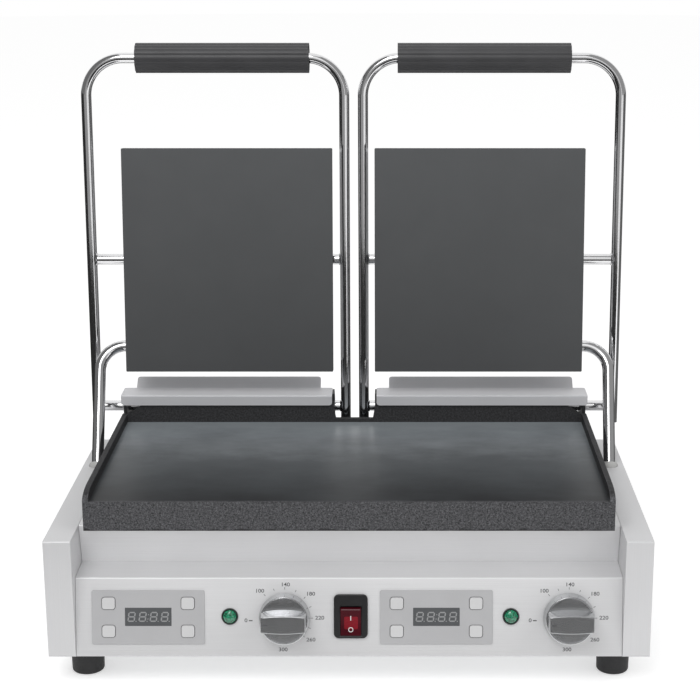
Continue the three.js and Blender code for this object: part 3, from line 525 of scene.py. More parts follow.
def lettering(name: str, words: str, height: float, frame: Matrix, stretch: float) -> bpy.types.Object:
    """Printed characters that stand in the x-z plane and face -y.

    Args:
        name: the piece's name.
        words: the characters.
        height: their height in millimetres.
        frame: frame whose origin is at the middle of the words.
        stretch: width as a share of the font's own.

    Returns:
        The characters as a thin mesh.
    """
    capital_share = 0.72
    curve = bpy.data.curves.new(name, "FONT")
    curve.body, curve.size = words, height / capital_share
    curve.align_x = curve.align_y = "CENTER"
    curve.extrude, curve.offset, curve.resolution_u = 0.03, 0.07, 4
    writer = linked(name, curve)
    mesh = evaluated_mesh(writer)
    bpy.data.objects.remove(writer)
    bpy.data.curves.remove(curve)
    upright = Matrix(((stretch, 0, 0, 0), (0, 0, -1, 0), (0, 1, 0, 0), (0, 0, 0, 1)))
    mesh.transform(frame @ upright)
    mesh.name = name
    return linked(name, mesh)


# Finishes
class Blend(Enum):
    """What a mixing node blends."""

    COLOUR = "RGBA"
    VALUE = "FLOAT"


class NodeBoard:
    """Short ways to lay out the nodes of one material."""

    def __init__(self, name: str) -> None:
        """Start a material.

        Args:
            name: its name.
        """
        self.material = bpy.data.materials.new(name)
        self.material.use_nodes = True
        self.tree = self.material.node_tree

    def feed(self, source: Source, socket: Socket) -> None:
        """Link a socket, or set it to a constant.

        Args:
            source: the socket that feeds it, a number, a vector or a colour.
            socket: the socket that is fed.
        """
        if isinstance(source, bpy.types.NodeSocket):
            self.tree.links.new(source, socket)
        elif isinstance(source, tuple):
            socket.default_value = source + (1.0,) * (len(socket.default_value) - len(source))
        else:
            socket.default_value = source

    def node(self, kind: str, inputs: dict[str | int, Source], **settings: object) -> bpy.types.Node:
        """Add a node.

        Args:
            kind: the node's type.
            inputs: what its sockets are linked or set to.
            settings: the node's own properties.

        Returns:
            The node.
        """
        made = self.tree.nodes.new(kind)
        for key, value in settings.items():
            setattr(made, key, value)
        for key, source in inputs.items():
            self.feed(source, made.inputs[key])
        return made

    def surface(self, **values: Source) -> bpy.types.Material:
        """Link or set the shader's inputs.

        Args:
            values: what they are linked or set to, with underscores for spaces in their names.

        Returns:
            The material.
        """
        shader = self.tree.nodes["Principled BSDF"]
        for key, source in values.items():
            self.feed(source, shader.inputs[key.replace("_", " ")])
        return self.material

    def position(self, stretch: tuple[float, float, float] = (1.0, 1.0, 1.0)) -> Socket:
        """Place on the object in metres, stretched along its axes."""
        place = self.node("ShaderNodeTexCoord", {}).outputs["Object"]
        return self.node("ShaderNodeMapping", {"Scale": stretch, "Vector": place}).outputs["Vector"]

    def axis(self, name: str) -> Socket:
        """One coordinate of the place on the object, in metres."""
        return self.node("ShaderNodeSeparateXYZ", {"Vector": self.position()}).outputs[name]

    def noise(self, vector: Socket, scale: float, detail: float, roughness: float = 0.5) -> Socket:
        """Cloudy noise.

        Args:
            vector: place it is read at.
            scale: its scale.
            detail: its number of finer layers.
            roughness: how strong the finer layers are.

        Returns:
            A value from 0 to 1.
        """
        return self.node("ShaderNodeTexNoise", {"Scale": scale, "Detail": detail, "Roughness": roughness,
                                                "Vector": vector}).outputs[0]

    def ramp(self, value: Socket, stops: Sequence[tuple[float, Colour]]) -> Socket:
        """Colours along a value.

        Args:
            value: the value.
            stops: places from 0 to 1 with their colours.

        Returns:
            The colour.
        """
        made = self.node("ShaderNodeValToRGB", {"Fac": value})
        elements = made.color_ramp.elements
        while len(elements) < len(stops):
            elements.new(0.5)
        for element, (place, colour) in zip(elements, stops):
            element.position = place
            element.color = (*colour, 1.0)
        return made.outputs["Color"]

    def spread(self, value: Source, low: float, high: float, start: float = 0.3, end: float = 0.7) -> Socket:
        """Map a value to a range.

        Args:
            value: the value.
            low: result at start.
            high: result at end.
            start: where the range begins.
            end: where it ends.

        Returns:
            The mapped value.
        """
        return self.node("ShaderNodeMapRange", {"Value": value, "From Min": start, "From Max": end,
                                                "To Min": low, "To Max": high}).outputs["Result"]

    def mix(self, factor: Source, first: Source, second: Source, what: Blend = Blend.COLOUR) -> Socket:
        """Blend two colours or two values by a factor."""
        made = self.node("ShaderNodeMix", {"Factor": factor, "A": first, "B": second}, data_type=what.value)
        return made.outputs["Result"]

    def add(self, first: Source, second: Source) -> Socket:
        """Sum of two values."""
        return self.node("ShaderNodeMath", {0: first, 1: second}, operation="ADD").outputs[0]

    def times(self, first: Source, second: Source) -> Socket:
        """Product of two values."""
        return self.node("ShaderNodeMath", {0: first, 1: second}, operation="MULTIPLY").outputs[0]

    def bump(self, height: Socket, depth: float, strength: float) -> Socket:
        """Normal of a surface raised by a height map.

        Args:
            height: the height map.
            depth: depth in millimetres.
            strength: how strongly it shows.

        Returns:
            The normal.
        """
        return self.node("ShaderNodeBump", {"Strength": strength, "Distance": depth * MM,
                                            "Height": height}).outputs["Normal"]


def shaded(colour: Colour, share: float) -> Colour:
    """A colour at a share of its brightness, at most white."""
    return tuple(min(c * share, 1.0) for c in colour)


class Grain(Enum):
    """Which way sheet metal is brushed, as the stretch of its noise."""

    ACROSS = (12.0, 1400.0, 1400.0)
    UPWARD = (1400.0, 1400.0, 12.0)


@dataclass(frozen=True)
class SheetSteel:
    """Brushed or galvanised sheet steel. Shade is painted towards the foot of the panel, where its brightness falls
    to the given share.
    """

    name: str
    colour: Colour
    grain: Grain = Grain.ACROSS
    roughness: float = 0.42
    metallic: float = 0.35
    painted_foot_shade: float = 1.0
    painted_shade_heights: tuple[float, float] = (0.032, 0.102)

    def build(self) -> bpy.types.Material:
        """Make the material, with brushed lines under faint clouds, and painted shade towards the panel's foot."""
        board = NodeBoard(self.name)
        lines = board.noise(board.position(self.grain.value), 1.0, 4.0, 0.65)
        shade = board.times(lines, board.noise(board.position(), 9.0, 3.0))
        # Painted shade: one ramp is darkened to the foot share, and height blends it in towards the foot of the panel
        low, bright = (board.ramp(shade, ((0.16, shaded(self.colour, 0.955 * share)),
                                          (0.36, shaded(self.colour, share)))) for share in (self.painted_foot_shade, 1.0))
        height = board.spread(board.axis("Z"), 0.0, 1.0, *self.painted_shade_heights)
        return board.surface(Metallic=self.metallic, Base_Color=board.mix(height, low, bright),
                             Roughness=board.spread(lines, self.roughness - 0.05, self.roughness + 0.07),
                             Normal=board.bump(lines, 0.02, 0.35))


@dataclass(frozen=True)
class PolishedRod:
    """Polished stainless rod."""

    name: str = "polished_rod_steel"
    colour: Colour = (0.80, 0.80, 0.81)

    def build(self) -> bpy.types.Material:
        """Make the material, with faint drawing marks."""
        board = NodeBoard(self.name)
        fine = board.noise(board.position(), 260.0, 4.0, 0.6)
        clouds = board.noise(board.position(), 14.0, 2.0)
        return board.surface(Metallic=1.0,
                             Base_Color=board.ramp(clouds, ((0.3, shaded(self.colour, 0.9)), (0.7, self.colour))),
                             Roughness=board.spread(fine, 0.06, 0.12), Normal=board.bump(fine, 0.01, 0.08))


@dataclass(frozen=True)
class CastIron:
    """Cast iron with a smooth cooking face, dark rims and a sand-cast skin. Its zones add painted light to the
    cooking face.
    """

    name: str
    smooth: tuple[Colour, Colour, Colour]
    front: tuple[Colour, Colour]
    zones: Callable[[NodeBoard], tuple[Socket, Source, Socket]]
    roughness: float
    gloss: float = 0.5
    rim: tuple[Colour, Colour] = ((0.018, 0.018, 0.019), (0.058, 0.058, 0.061))

    def build(self) -> bpy.types.Material:
        """Make the material from the zones of the casting."""
        board = NodeBoard(self.name)
        place = board.position()
        clouds = board.noise(place, 11.0, 5.0, 0.62)
        stains = board.noise(board.position((1.0, 2.2, 1.0)), 26.0, 4.0, 0.6)
        specks = board.noise(place, 900.0, 2.0, 0.8)
        grit = board.noise(place, 520.0, 3.0, 0.7)
        face, sand, painted_light = self.zones(board)
        # Real clouds and stains, plus the painted light from the zones, which brightens the smooth face
        stains_and_painted_light = board.add(board.add(board.spread(clouds, 0.0, 0.16), board.spread(stains, 0.0, 0.10)), painted_light)
        smooth = board.ramp(stains_and_painted_light, tuple(zip((0.08, 0.55, 1.0), self.smooth)))
        grain = board.times(specks, grit)
        rim = board.ramp(grain, tuple(zip((0.16, 0.38), self.rim)))
        cast = board.ramp(grain, tuple(zip((0.14, 0.40), self.front)))
        rough = board.spread(stains_and_painted_light, self.roughness + 0.05, self.roughness - 0.05, 0.1, 1.1)
        depth = board.mix(face, board.spread(sand, 0.35, 1.0, 0.0, 1.0), 0.03, Blend.VALUE)
        return board.surface(
            IOR=1.5, Specular_IOR_Level=self.gloss,
            Base_Color=board.mix(face, board.mix(sand, rim, cast), smooth),
            Roughness=board.mix(face, board.spread(specks, 0.52, 0.72), rough, Blend.VALUE),
            Normal=board.bump(board.times(board.add(specks, grit), depth), 0.30, 0.8))


@dataclass(frozen=True)
class Moulded:
    """Moulded plastic, rubber or the like with a fine sparked texture."""

    name: str
    colour: Colour
    roughness: float
    grain: float
    depth: float
    vary: float = 0.12
    metallic: float = 0.0
    gloss: float = 0.5

    def build(self) -> bpy.types.Material:
        """Make the material, which varies a little in clouds."""
        board = NodeBoard(self.name)
        texture = board.noise(board.position(), self.grain, 2.0)
        clouds = board.noise(board.position(), 35.0, 3.0)
        tones = ((0.32, shaded(self.colour, 1 - self.vary)), (0.68, shaded(self.colour, 1 + self.vary / 2)))
        return board.surface(Metallic=self.metallic, Specular_IOR_Level=self.gloss,
                             Base_Color=board.ramp(clouds, tones),
                             Roughness=board.spread(texture, self.roughness - 0.05, self.roughness + 0.08),
                             Normal=board.bump(texture, self.depth, 0.5))


@dataclass(frozen=True)
class SilveredPlastic:
    """Satin silver plating on a moulding."""

    name: str = "silvered_knob"
    colour: Colour = (0.52, 0.525, 0.535)

    def build(self) -> bpy.types.Material:
        """Make the material."""
        board = NodeBoard(self.name)
        clouds = board.noise(board.position(), 60.0, 2.0)
        fine = board.noise(board.position(), 400.0, 1.0)
        return board.surface(Metallic=1.0, Roughness=board.spread(fine, 0.20, 0.22),
                             Base_Color=board.ramp(clouds, ((0.35, shaded(self.colour, 0.97)), (0.65, self.colour))))


@dataclass(frozen=True)
class LampLens:
    """Green lens with fine cells under a clear coat."""

    name: str = "green_lamp_lens"
    deep: Colour = (0.003, 0.085, 0.04)
    bright: Colour = (0.015, 0.38, 0.19)

    def build(self) -> bpy.types.Material:
        """Make the material."""
        board = NodeBoard(self.name)
        cells = board.node("ShaderNodeTexVoronoi", {"Scale": 700.0, "Vector": board.position()}, feature="F1")
        away = cells.outputs["Distance"]
        return board.surface(Coat_Weight=1.0, Coat_Roughness=0.05, IOR=1.5,
                             Base_Color=board.ramp(away, ((0.1, self.bright), (0.75, self.deep))),
                             Roughness=board.spread(away, 0.10, 0.22, 0.0, 0.8), Normal=board.bump(away, 0.12, 0.4))


def lower_zones(board: NodeBoard) -> tuple[Socket, Source, Socket]:
    """Zones of the lower plate, in metres.

    Args:
        board: the material that is being made.

    Returns:
        Masks of the cooking face and of the sand-cast front, and the painted light, a painted reflection that
        brightens the face towards the rear.
    """
    low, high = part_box("lower_plate")
    wobble = board.noise(board.position(), 70.0, 3.0)
    ragged = board.add(board.axis("Y"), board.spread(wobble, -0.0011, 0.0011))
    behind_edge = board.spread(ragged, 0.0, 1.0, low.y + 0.0020, low.y + 0.0042)
    half = board.node("ShaderNodeMath", {0: board.axis("X")}, operation="ABSOLUTE").outputs[0]
    across = board.spread(half, 1.0, 0.0, high.x - 0.0056, high.x - 0.0050)
    level = board.times(board.spread(board.axis("Z"), 1.0, 0.0, 0.1713, 0.1718),
                        board.spread(board.axis("Z"), 0.0, 1.0, 0.1700, 0.1706))
    face = board.times(board.times(behind_edge, across), level)
    front = board.spread(board.axis("Y"), 1.0, 0.0, low.y + 0.0040, low.y + 0.0070)
    # The front face is darker in a ragged line along its bottom edge
    under = board.add(board.axis("Z"), board.spread(wobble, -0.0014, 0.0014, 0.38, 0.62))
    above_bottom_line = board.spread(under, 0.0, 1.0, low.z + 0.0007, low.z + 0.0016)
    # Painted reflection: the cooking face is painted brighter towards the rear
    painted_light = board.spread(board.axis("Y"), 0.0, 0.9, low.y + 0.01, high.y - 0.01)
    return face, board.times(front, above_bottom_line), painted_light


def upper_zones(board: NodeBoard) -> tuple[Socket, Source, Socket]:
    """Zones of the upper plates, whose cooking faces look forwards when the lids stand open.

    Args:
        board: the material that is being made.

    Returns:
        Mask of the cooking face, the even share of sand-cast skin elsewhere, and the painted light, which lightens
        the plates towards their top.
    """
    normal = board.node("ShaderNodeTexCoord", {}).outputs["Normal"]
    forwards = board.node("ShaderNodeSeparateXYZ", {"Vector": normal}).outputs["Y"]
    low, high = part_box("left_upper_plate")
    # Painted light: the plates are painted lighter towards their top
    painted_light = board.spread(board.axis("Z"), 0.2, 0.7, low.z, high.z)
    return board.spread(forwards, 1.0, 0.0, -0.9, -0.6), 0.3, painted_light


class Finishes:
    """Every material of the grill, each built once."""

    def __init__(self) -> None:
        """Build the materials."""
        self.cover = SheetSteel("cover_sheet", (0.70, 0.70, 0.71), Grain.UPWARD, metallic=0.2).build()
        # The deck and panel are painted darker towards the panel's foot, a painted shade
        self.deck = SheetSteel("deck_sheet", (0.83, 0.83, 0.84), metallic=0.30, painted_foot_shade=0.84).build()
        self.rear = SheetSteel("rear_sheet", (0.68, 0.685, 0.69)).build()
        self.shield = SheetSteel("spring_cover_sheet", (0.69, 0.69, 0.71)).build()
        self.housing = SheetSteel("lid_housing_sheet", (0.66, 0.665, 0.67)).build()
        self.galvanised = SheetSteel("galvanised_sheet", (0.55, 0.56, 0.57), roughness=0.48, metallic=0.9).build()
        # Near-black sheet for the hinge brackets
        self.dark = SheetSteel("near_black_sheet", (0.045, 0.045, 0.047), Grain.UPWARD, 0.5, 0.4).build()
        self.rod = PolishedRod().build()
        self.screw = PolishedRod("screw_steel", (0.62, 0.62, 0.63)).build()
        self.spring = PolishedRod("spring_wire", (0.33, 0.33, 0.34)).build()
        # The lower plate's face reaches its lightest colour only towards the rear, where a reflection is painted
        self.lower_iron = CastIron(
            "lower_cast_iron", ((0.016, 0.017, 0.019), (0.066, 0.074, 0.080), (0.245, 0.268, 0.285)),
            ((0.012, 0.012, 0.013), (0.165, 0.166, 0.176)), lower_zones, roughness=0.36, gloss=0.25).build()
        # The upper plates' face is painted lighter towards its top, a painted light
        self.upper_iron = CastIron(
            "upper_cast_iron", ((0.055, 0.057, 0.060), (0.070, 0.073, 0.076), (0.088, 0.092, 0.096)),
            ((0.030, 0.030, 0.032), (0.110, 0.112, 0.116)), upper_zones, roughness=0.48).build()
        self.knob = SilveredPlastic().build()
        self.lens = LampLens().build()
        # Each row: colour, roughness, grain, depth of the texture and, where not usual, variation
        self.sheath = Moulded("element_sheath_alloy", (0.24, 0.21, 0.19), 0.5, 300.0, 0.05, 0.3, metallic=0.8).build()
        self.rubber = Moulded("foot_rubber", (0.022, 0.022, 0.023), 0.6, 500.0, 0.05).build()
        self.grip = Moulded("grip_plastic", (0.046, 0.046, 0.049), 0.42, 1200.0, 0.02).build()
        self.film = Moulded("overlay_film", (0.485, 0.485, 0.495), 0.38, 1500.0, 0.005, 0.03).build()
        self.window = Moulded("display_window", (0.108, 0.112, 0.117), 0.14, 800.0, 0.002, 0.05).build()
        self.segment = Moulded("display_segments", (0.32, 0.325, 0.33), 0.35, 800.0, 0.002, 0.04).build()
        self.key = Moulded("key_plastic", (0.66, 0.66, 0.665), 0.40, 1200.0, 0.01, 0.03).build()
        self.ink = Moulded("printed_ink", (0.09, 0.09, 0.095), 0.5, 1500.0, 0.004, 0.1).build()
        self.bezel = Moulded("lamp_bezel", (0.03, 0.035, 0.033), 0.22, 700.0, 0.01).build()
        self.black = Moulded("switch_black", (0.010, 0.010, 0.011), 0.38, 900.0, 0.02, 0.15, gloss=0.45).build()
        self.red = Moulded("rocker_red", (0.075, 0.004, 0.010), 0.30, 700.0, 0.01, 0.3, gloss=0.12).build()
        self.red_lens = Moulded("rocker_lens_red", (0.26, 0.012, 0.022), 0.28, 700.0, 0.01, 0.25, gloss=0.12).build()
        # Pale red for the painted highlight along the rocker's top edge
        self.painted_highlight_red = Moulded("painted_rocker_highlight", (0.24, 0.14, 0.15), 0.3, 700.0, 0.01, 0.1).build()
        self.white_ink = Moulded("white_ink", (0.78, 0.76, 0.75), 0.45, 900.0, 0.004, 0.05).build()
        self.bush = Moulded("bush_plastic", (0.50, 0.50, 0.49), 0.42, 700.0, 0.02, 0.06).build()
        self.board = Moulded("circuit_board", (0.02, 0.09, 0.045), 0.4, 600.0, 0.02, 0.2).build()


# Studio
# Grey cards that only gloss sees: name, bearings they span in degrees from the front towards the right,
# distance from the origin and height of both edges in metres, and brightness
NEAR, FAR, LOW, MIDDLE, HIGH = 0.55, 3.4, 0.003, 0.5, 2.2
DOME_TOP = (0.9, 3.2)
CARDS = (
    ("dark_floor", (-180, 33), ((NEAR, LOW), (FAR, LOW)), 0.03),
    ("dark_left_wall", (-180, -50), ((FAR, LOW), (FAR, MIDDLE)), 0.03),
    ("left_dome", (-125, -28), ((FAR, MIDDLE), DOME_TOP), 0.17),
    ("front_wall", (-50, 14), ((FAR, LOW), (FAR, 1.5)), 0.34),
    ("side_floor", (60, 180), ((NEAR, LOW), (FAR, LOW)), 0.13),
    ("side_wall", (60, 180), ((FAR, LOW), (FAR, MIDDLE)), 0.13),
    ("right_dome", (22, 125), ((FAR, MIDDLE), DOME_TOP), 0.32),
    ("overhead_strip", (-60, 60), ((NEAR, HIGH), (0.8, HIGH)), 0.03),
)


@dataclass
class Studio:
    """Camera, lamps, background and floor. Places are in metres, but the camera's is on the drawing."""

    lens: float = 86.950
    camera_place: tuple[float, float, float] = (38.6, -1420.58, 703.9)
    pitch: float = math.radians(15.076)
    framing: float = -41.4 / 700
    surround: float = 0.62
    aim: tuple[float, float, float] = (0.0, 0.0, 0.22)
    key_power: float = 26.0
    fill_power: float = 7.0
    floor_radius: float = 9.0
    floor_drop: float = 0.0002
    floor_colour: Colour = (0.79, 0.79, 0.79)
    floor_glow: float = 0.49
    card_steps: int = 24

    def build(self) -> None:
        """Set the whole studio up."""
        bpy.context.scene.view_settings.view_transform = "Standard"
        self.camera()
        self.world()
        self.lamp("key_softbox", (-0.7, -1.7, 2.3), 1.5, self.key_power, True)
        self.lamp("fill_softbox", (1.5, -1.2, 1.4), 1.2, self.fill_power, False)
        self.floor()
        for name, span, line, shade in CARDS:
            self.card(name, span, line, shade)

    def camera(self) -> None:
        """Stand the camera square to the front, with its frame shifted sideways."""
        data = bpy.data.cameras.new("camera")
        data.lens, data.sensor_width, data.sensor_fit = self.lens, 36.0, "HORIZONTAL"
        data.shift_x, data.clip_end = self.framing, 100.0
        camera = linked("camera", data)
        camera.location = DRAWING @ Vector(self.camera_place)
        camera.rotation_euler = (math.pi / 2 - self.pitch, 0.0, 0.0)
        bpy.context.scene.camera = camera

    def world(self) -> None:
        """White behind the object and in its gloss, and a soft grey surround for the light."""
        world = bpy.data.worlds.new("studio")
        bpy.context.scene.world = world
        world.use_nodes = True
        tree = world.node_tree
        tree.nodes.clear()
        output, mix = tree.nodes.new("ShaderNodeOutputWorld"), tree.nodes.new("ShaderNodeMixShader")
        tree.links.new(self.seen(tree), mix.inputs[0])
        for place, strength in ((1, self.surround), (2, 1.0)):
            ground = tree.nodes.new("ShaderNodeBackground")
            ground.inputs["Color"].default_value = (*WHITE, 1.0)
            ground.inputs["Strength"].default_value = strength
            tree.links.new(ground.outputs[0], mix.inputs[place])
        tree.links.new(mix.outputs[0], output.inputs["Surface"])

    def seen(self, tree: bpy.types.NodeTree) -> Socket:
        """Value that is 1 for camera, glossy and transmission rays.

        Args:
            tree: the node tree that needs it.

        Returns:
            The value's socket.
        """
        rays = tree.nodes.new("ShaderNodeLightPath")
        total = rays.outputs["Is Camera Ray"]
        for name in ("Is Glossy Ray", "Is Transmission Ray"):
            largest = tree.nodes.new("ShaderNodeMath")
            largest.operation = "MAXIMUM"
            tree.links.new(total, largest.inputs[0])
            tree.links.new(rays.outputs[name], largest.inputs[1])
            total = largest.outputs[0]
        return total

    def lamp(self, name: str, place: tuple[float, float, float], size: float, power: float,
             in_gloss: bool) -> None:
        """Soft square lamp that looks at the object.

        Args:
            name: the lamp's name.
            place: where it stands.
            size: its side.
            power: its power in watts.
            in_gloss: whether polished pieces mirror it.
        """
        data = bpy.data.lights.new(name, "AREA")
        data.shape, data.size, data.energy = "SQUARE", size, power
        lamp = linked(name, data)
        lamp.location = place
        lamp.visible_glossy = in_gloss
        lamp.rotation_euler = (Vector(self.aim) - Vector(place)).to_track_quat("-Z", "Y").to_euler()

    def floor(self) -> None:
        """Pale floor that keeps the object's shadow."""
        shape = Shape()
        rim = [Vector((x, y, 0.0)) for x, y in circle_outline(self.floor_radius, 96)]
        shape.mesh.faces.new([shape.mesh.verts.new(point) for point in rim])
        floor = shape.done("floor", move(0, 0, -self.floor_drop))
        board = NodeBoard("floor_paper")
        finish(floor, board.surface(Roughness=0.9, Base_Color=self.floor_colour, Specular_IOR_Level=0.0,
                                    Emission_Color=WHITE,
                                    Emission_Strength=board.times(self.seen(board.tree), self.floor_glow)))

    def card(self, name: str, span: tuple[float, float], line: Sequence[tuple[float, float]], shade: float) -> None:
        """Grey card round the object that only gloss sees.

        Args:
            name: the card's name.
            span: the bearings it spans.
            line: distance and height of its edges.
            shade: how bright it is.
        """
        shape = Shape()
        rows = []
        for i in range(self.card_steps + 1):
            bearing = math.radians(span[0] + (span[1] - span[0]) * i / self.card_steps)
            rows.append([shape.mesh.verts.new((reach * math.sin(bearing), -reach * math.cos(bearing), height))
                         for reach, height in line])
        for first, second in zip(rows, rows[1:]):
            shape.mesh.faces.new((first[0], first[1], second[1], second[0]))
        card = shape.done(name, Matrix.Identity(4))
        finish(card, NodeBoard(name).surface(Base_Color=(0.0, 0.0, 0.0), Specular_IOR_Level=0.0,
                                             Emission_Color=WHITE, Emission_Strength=shade))
        card.visible_camera = card.visible_diffuse = card.visible_shadow = card.visible_transmission = False


# Sub-assemblies
class Assembly(Protocol):
    """Anything that makes and dresses its own pieces."""

    def build(self) -> None:
        """Make and dress the pieces."""


@dataclass
class BodyShell:
    """Side covers, deck, base pan, rear panel, feet, gland and their screws.

    Each hole is given by its width, height and corner radius.
    """

    finishes: Finishes
    foot_x: float = 246.5
    foot_inset: float = 40.0
    foot_top: float = 16.0
    foot_bottom: float = 15.0
    foot_edge: float = 2.2
    foot_recess: float = 3.0
    front_screw_x: tuple[float, ...] = (-264.5, -91.4, 90.3, 264.5)
    front_screw_y: float = 9.0
    rear_screw_x: tuple[float, ...] = (-238.0, 0.0, 238.0)
    gland_height: float = 34.0
    half_inside: float = 249.7
    sheet: float = 1.2
    fold: float = 0.7
    deck_line: Sequence[tuple[float, float]] = ((16.0, 30.0), (0.8, 30.0), (14.805, 102.051), (50.6, 103.551),
                                                (41.0, 143.0), (297.0, 143.0))
    window_hole: tuple[float, float, float] = (46.6, 20.6, 0.3)
    key_hole: tuple[float, float, float] = (13.4, 12.4, 0.3)
    lamp_hole: tuple[float, float, float] = (11.8, 11.8, 5.89)
    shaft_hole: tuple[float, float, float] = (6.6, 6.6, 3.29)
    switch_hole: tuple[float, float, float] = (27.6, 39.2, 0.3)
    plate_opening: tuple[float, float, float] = (400.0, 184.0, 3.0)
    opening_y: float = 148.5

    def build(self) -> None:
        """Dress the sheets and make the small pieces."""
        for side, _ in SIDES:
            dress(f"{side}_side_cover", self.finishes.cover, 0.5, 3)
        self.deck()
        dress("rear_panel", self.finishes.rear, 0.3)
        dress("base_pan", self.finishes.galvanised, 0.3)
        self.feet()
        self.gland()
        self.screws()

    def deck(self) -> None:
        """Panel and deck, folded from one sheet, with the holes for what is fitted to them."""
        path = folded_path(self.deck_line, self.sheet, self.fold)
        sheet = Shape().folded(path, self.sheet, [(-self.half_inside, self.half_inside)] * len(path))
        deck = sheet.done("deck_and_panel", DRAWING)
        holes = []
        for overlay, lamp, knob in PLACES.values():
            holes.append((self.window_hole, overlay, BODY.window_down))
            holes += [(self.key_hole, overlay + x, BODY.overlay_down - z) for x, z in BODY.key_places()]
            holes.append((self.lamp_hole, lamp, BODY.lamp_down))
            holes.append((self.shaft_hole, knob, BODY.dial_down))
        holes.append((self.switch_hole, BODY.switch_x, BODY.switch_down))
        tools = [Shape().slab(rectangle(*size), 4.0, -4.0).done("panel_cut", BODY.panel_frame(x, down))
                 for size, x, down in holes]
        opening = Shape().slab(rectangle(*self.plate_opening), 8.0, -8.0)
        tools.append(opening.done("deck_cut", DRAWING @ move(0, self.opening_y, BODY.deck_top) @ REARWARD))
        fit(carve(deck, tools), self.finishes.deck, "base", ["fascia_deck"])

    def feet(self) -> None:
        """Rubber feet with a soft lower edge and a screw recess."""
        rounding = [(self.foot_bottom - self.foot_edge * (1 - math.sin(a)), self.foot_edge * (1 - math.cos(a)))
                    for a in quarter(5)]
        top = BODY.foot_height - 0.3
        profile = [(AXIS, self.foot_recess), (7.0, self.foot_recess), (7.6, 0.6), (8.2, 0.0), *rounding,
                   (self.foot_top - 0.5, top - 2.5), (self.foot_top, top - 1.8), (self.foot_top, top), (AXIS, top)]
        for side, sign in SIDES:
            for end, y in (("front", self.foot_inset), ("rear", BODY.depth - self.foot_inset)):
                node = f"foot_{end}_{side}"
                place = DRAWING @ move(sign * self.foot_x, y, 0)
                fit(Shape().turned(profile, 56).done(f"{node}_rubber", place), self.finishes.rubber, "base",
                    [node])
                self.screw(f"{node}_screw", 2.8, 1.6, (sign * self.foot_x, y, self.foot_recess), DOWNWARD)

    def gland(self) -> None:
        """Cord gland with a ribbed nose."""
        profile = [(AXIS, -6.2), (8.0, -6.2), (8.0, 0.3), (11.4, 0.3), (12.0, 0.9), (12.0, 2.4), (11.4, 3.0),
                   (8.0, 3.0)]
        for i in range(5):
            start, radius = 3.6 + i * 2.2, 7.8 - i * 0.45
            profile += [(radius, start), (radius - 0.1, start + 1.1), (radius - 1.0, start + 1.3),
                        (radius - 1.1, start + 2.0)]
        profile += [(5.6, 15.6), (5.0, 16.0), (4.4, 16.0), (4.2, 15.6), (4.2, 2.0), (AXIS, 2.0)]
        low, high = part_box("cord_gland")
        place = DRAWING @ move((low.x + high.x) / 2 / MM, BODY.depth, BODY.foot_height + self.gland_height)
        fit(Shape().turned(profile, 40, REARWARD).done("cord_gland_body", place), self.finishes.black, "base",
            ["cord_gland"])

    def screws(self) -> None:
        """Pan head screws under the front edge and on the rear panel."""
        for i, x in enumerate(self.front_screw_x):
            self.screw(f"front_screw_{i + 1}", 3.4, 2.0, (x, self.front_screw_y, BODY.foot_height), DOWNWARD)
        heights = (BODY.foot_height + 6.0, BODY.deck_top - 8.0)
        for i, (x, z) in enumerate((x, z) for x in self.rear_screw_x for z in heights):
            self.screw(f"rear_screw_{i + 1}", 3.2, 1.9, (x, BODY.depth, z), REARWARD)

    def screw(self, name: str, radius: float, height: float, place: tuple[float, float, float],
              turn: Matrix) -> None:
        """One screw of the body.

        Args:
            name: the screw's name.
            radius: its head's radius.
            height: its head's height.
            place: where it sits on the drawing.
            turn: which way its head looks.
        """
        head = screw_head(radius, height).done(name, DRAWING @ move(*place) @ turn)
        fit(head, self.finishes.screw, "base")


def screw_head(radius: float, height: float) -> Shape:
    """Pan head with a round recess, standing on z = 0.

    Args:
        radius: the head's radius.
        height: the head's height.

    Returns:
        The shape.
    """
    profile = [(AXIS, -0.2), (radius, -0.2), (radius, height * 0.35)]
    profile += [(radius - radius * 0.45 * (1 - math.cos(a)), height * (0.35 + 0.65 * math.sin(a)))
                for a in quarter(5)[1:]]
    profile += [(radius * 0.30, height), (radius * 0.16, height * 0.45), (AXIS, height * 0.4)]
    return Shape().turned(profile, 24)


@dataclass
class LowerPlate:
    """The wide lower cast plate and its element."""

    finishes: Finishes

    def build(self) -> None:
        """Dress the casting and its element."""
        dress("lower_plate", self.finishes.lower_iron, 1.3, 3)
        dress("lower_element", self.finishes.sheath)


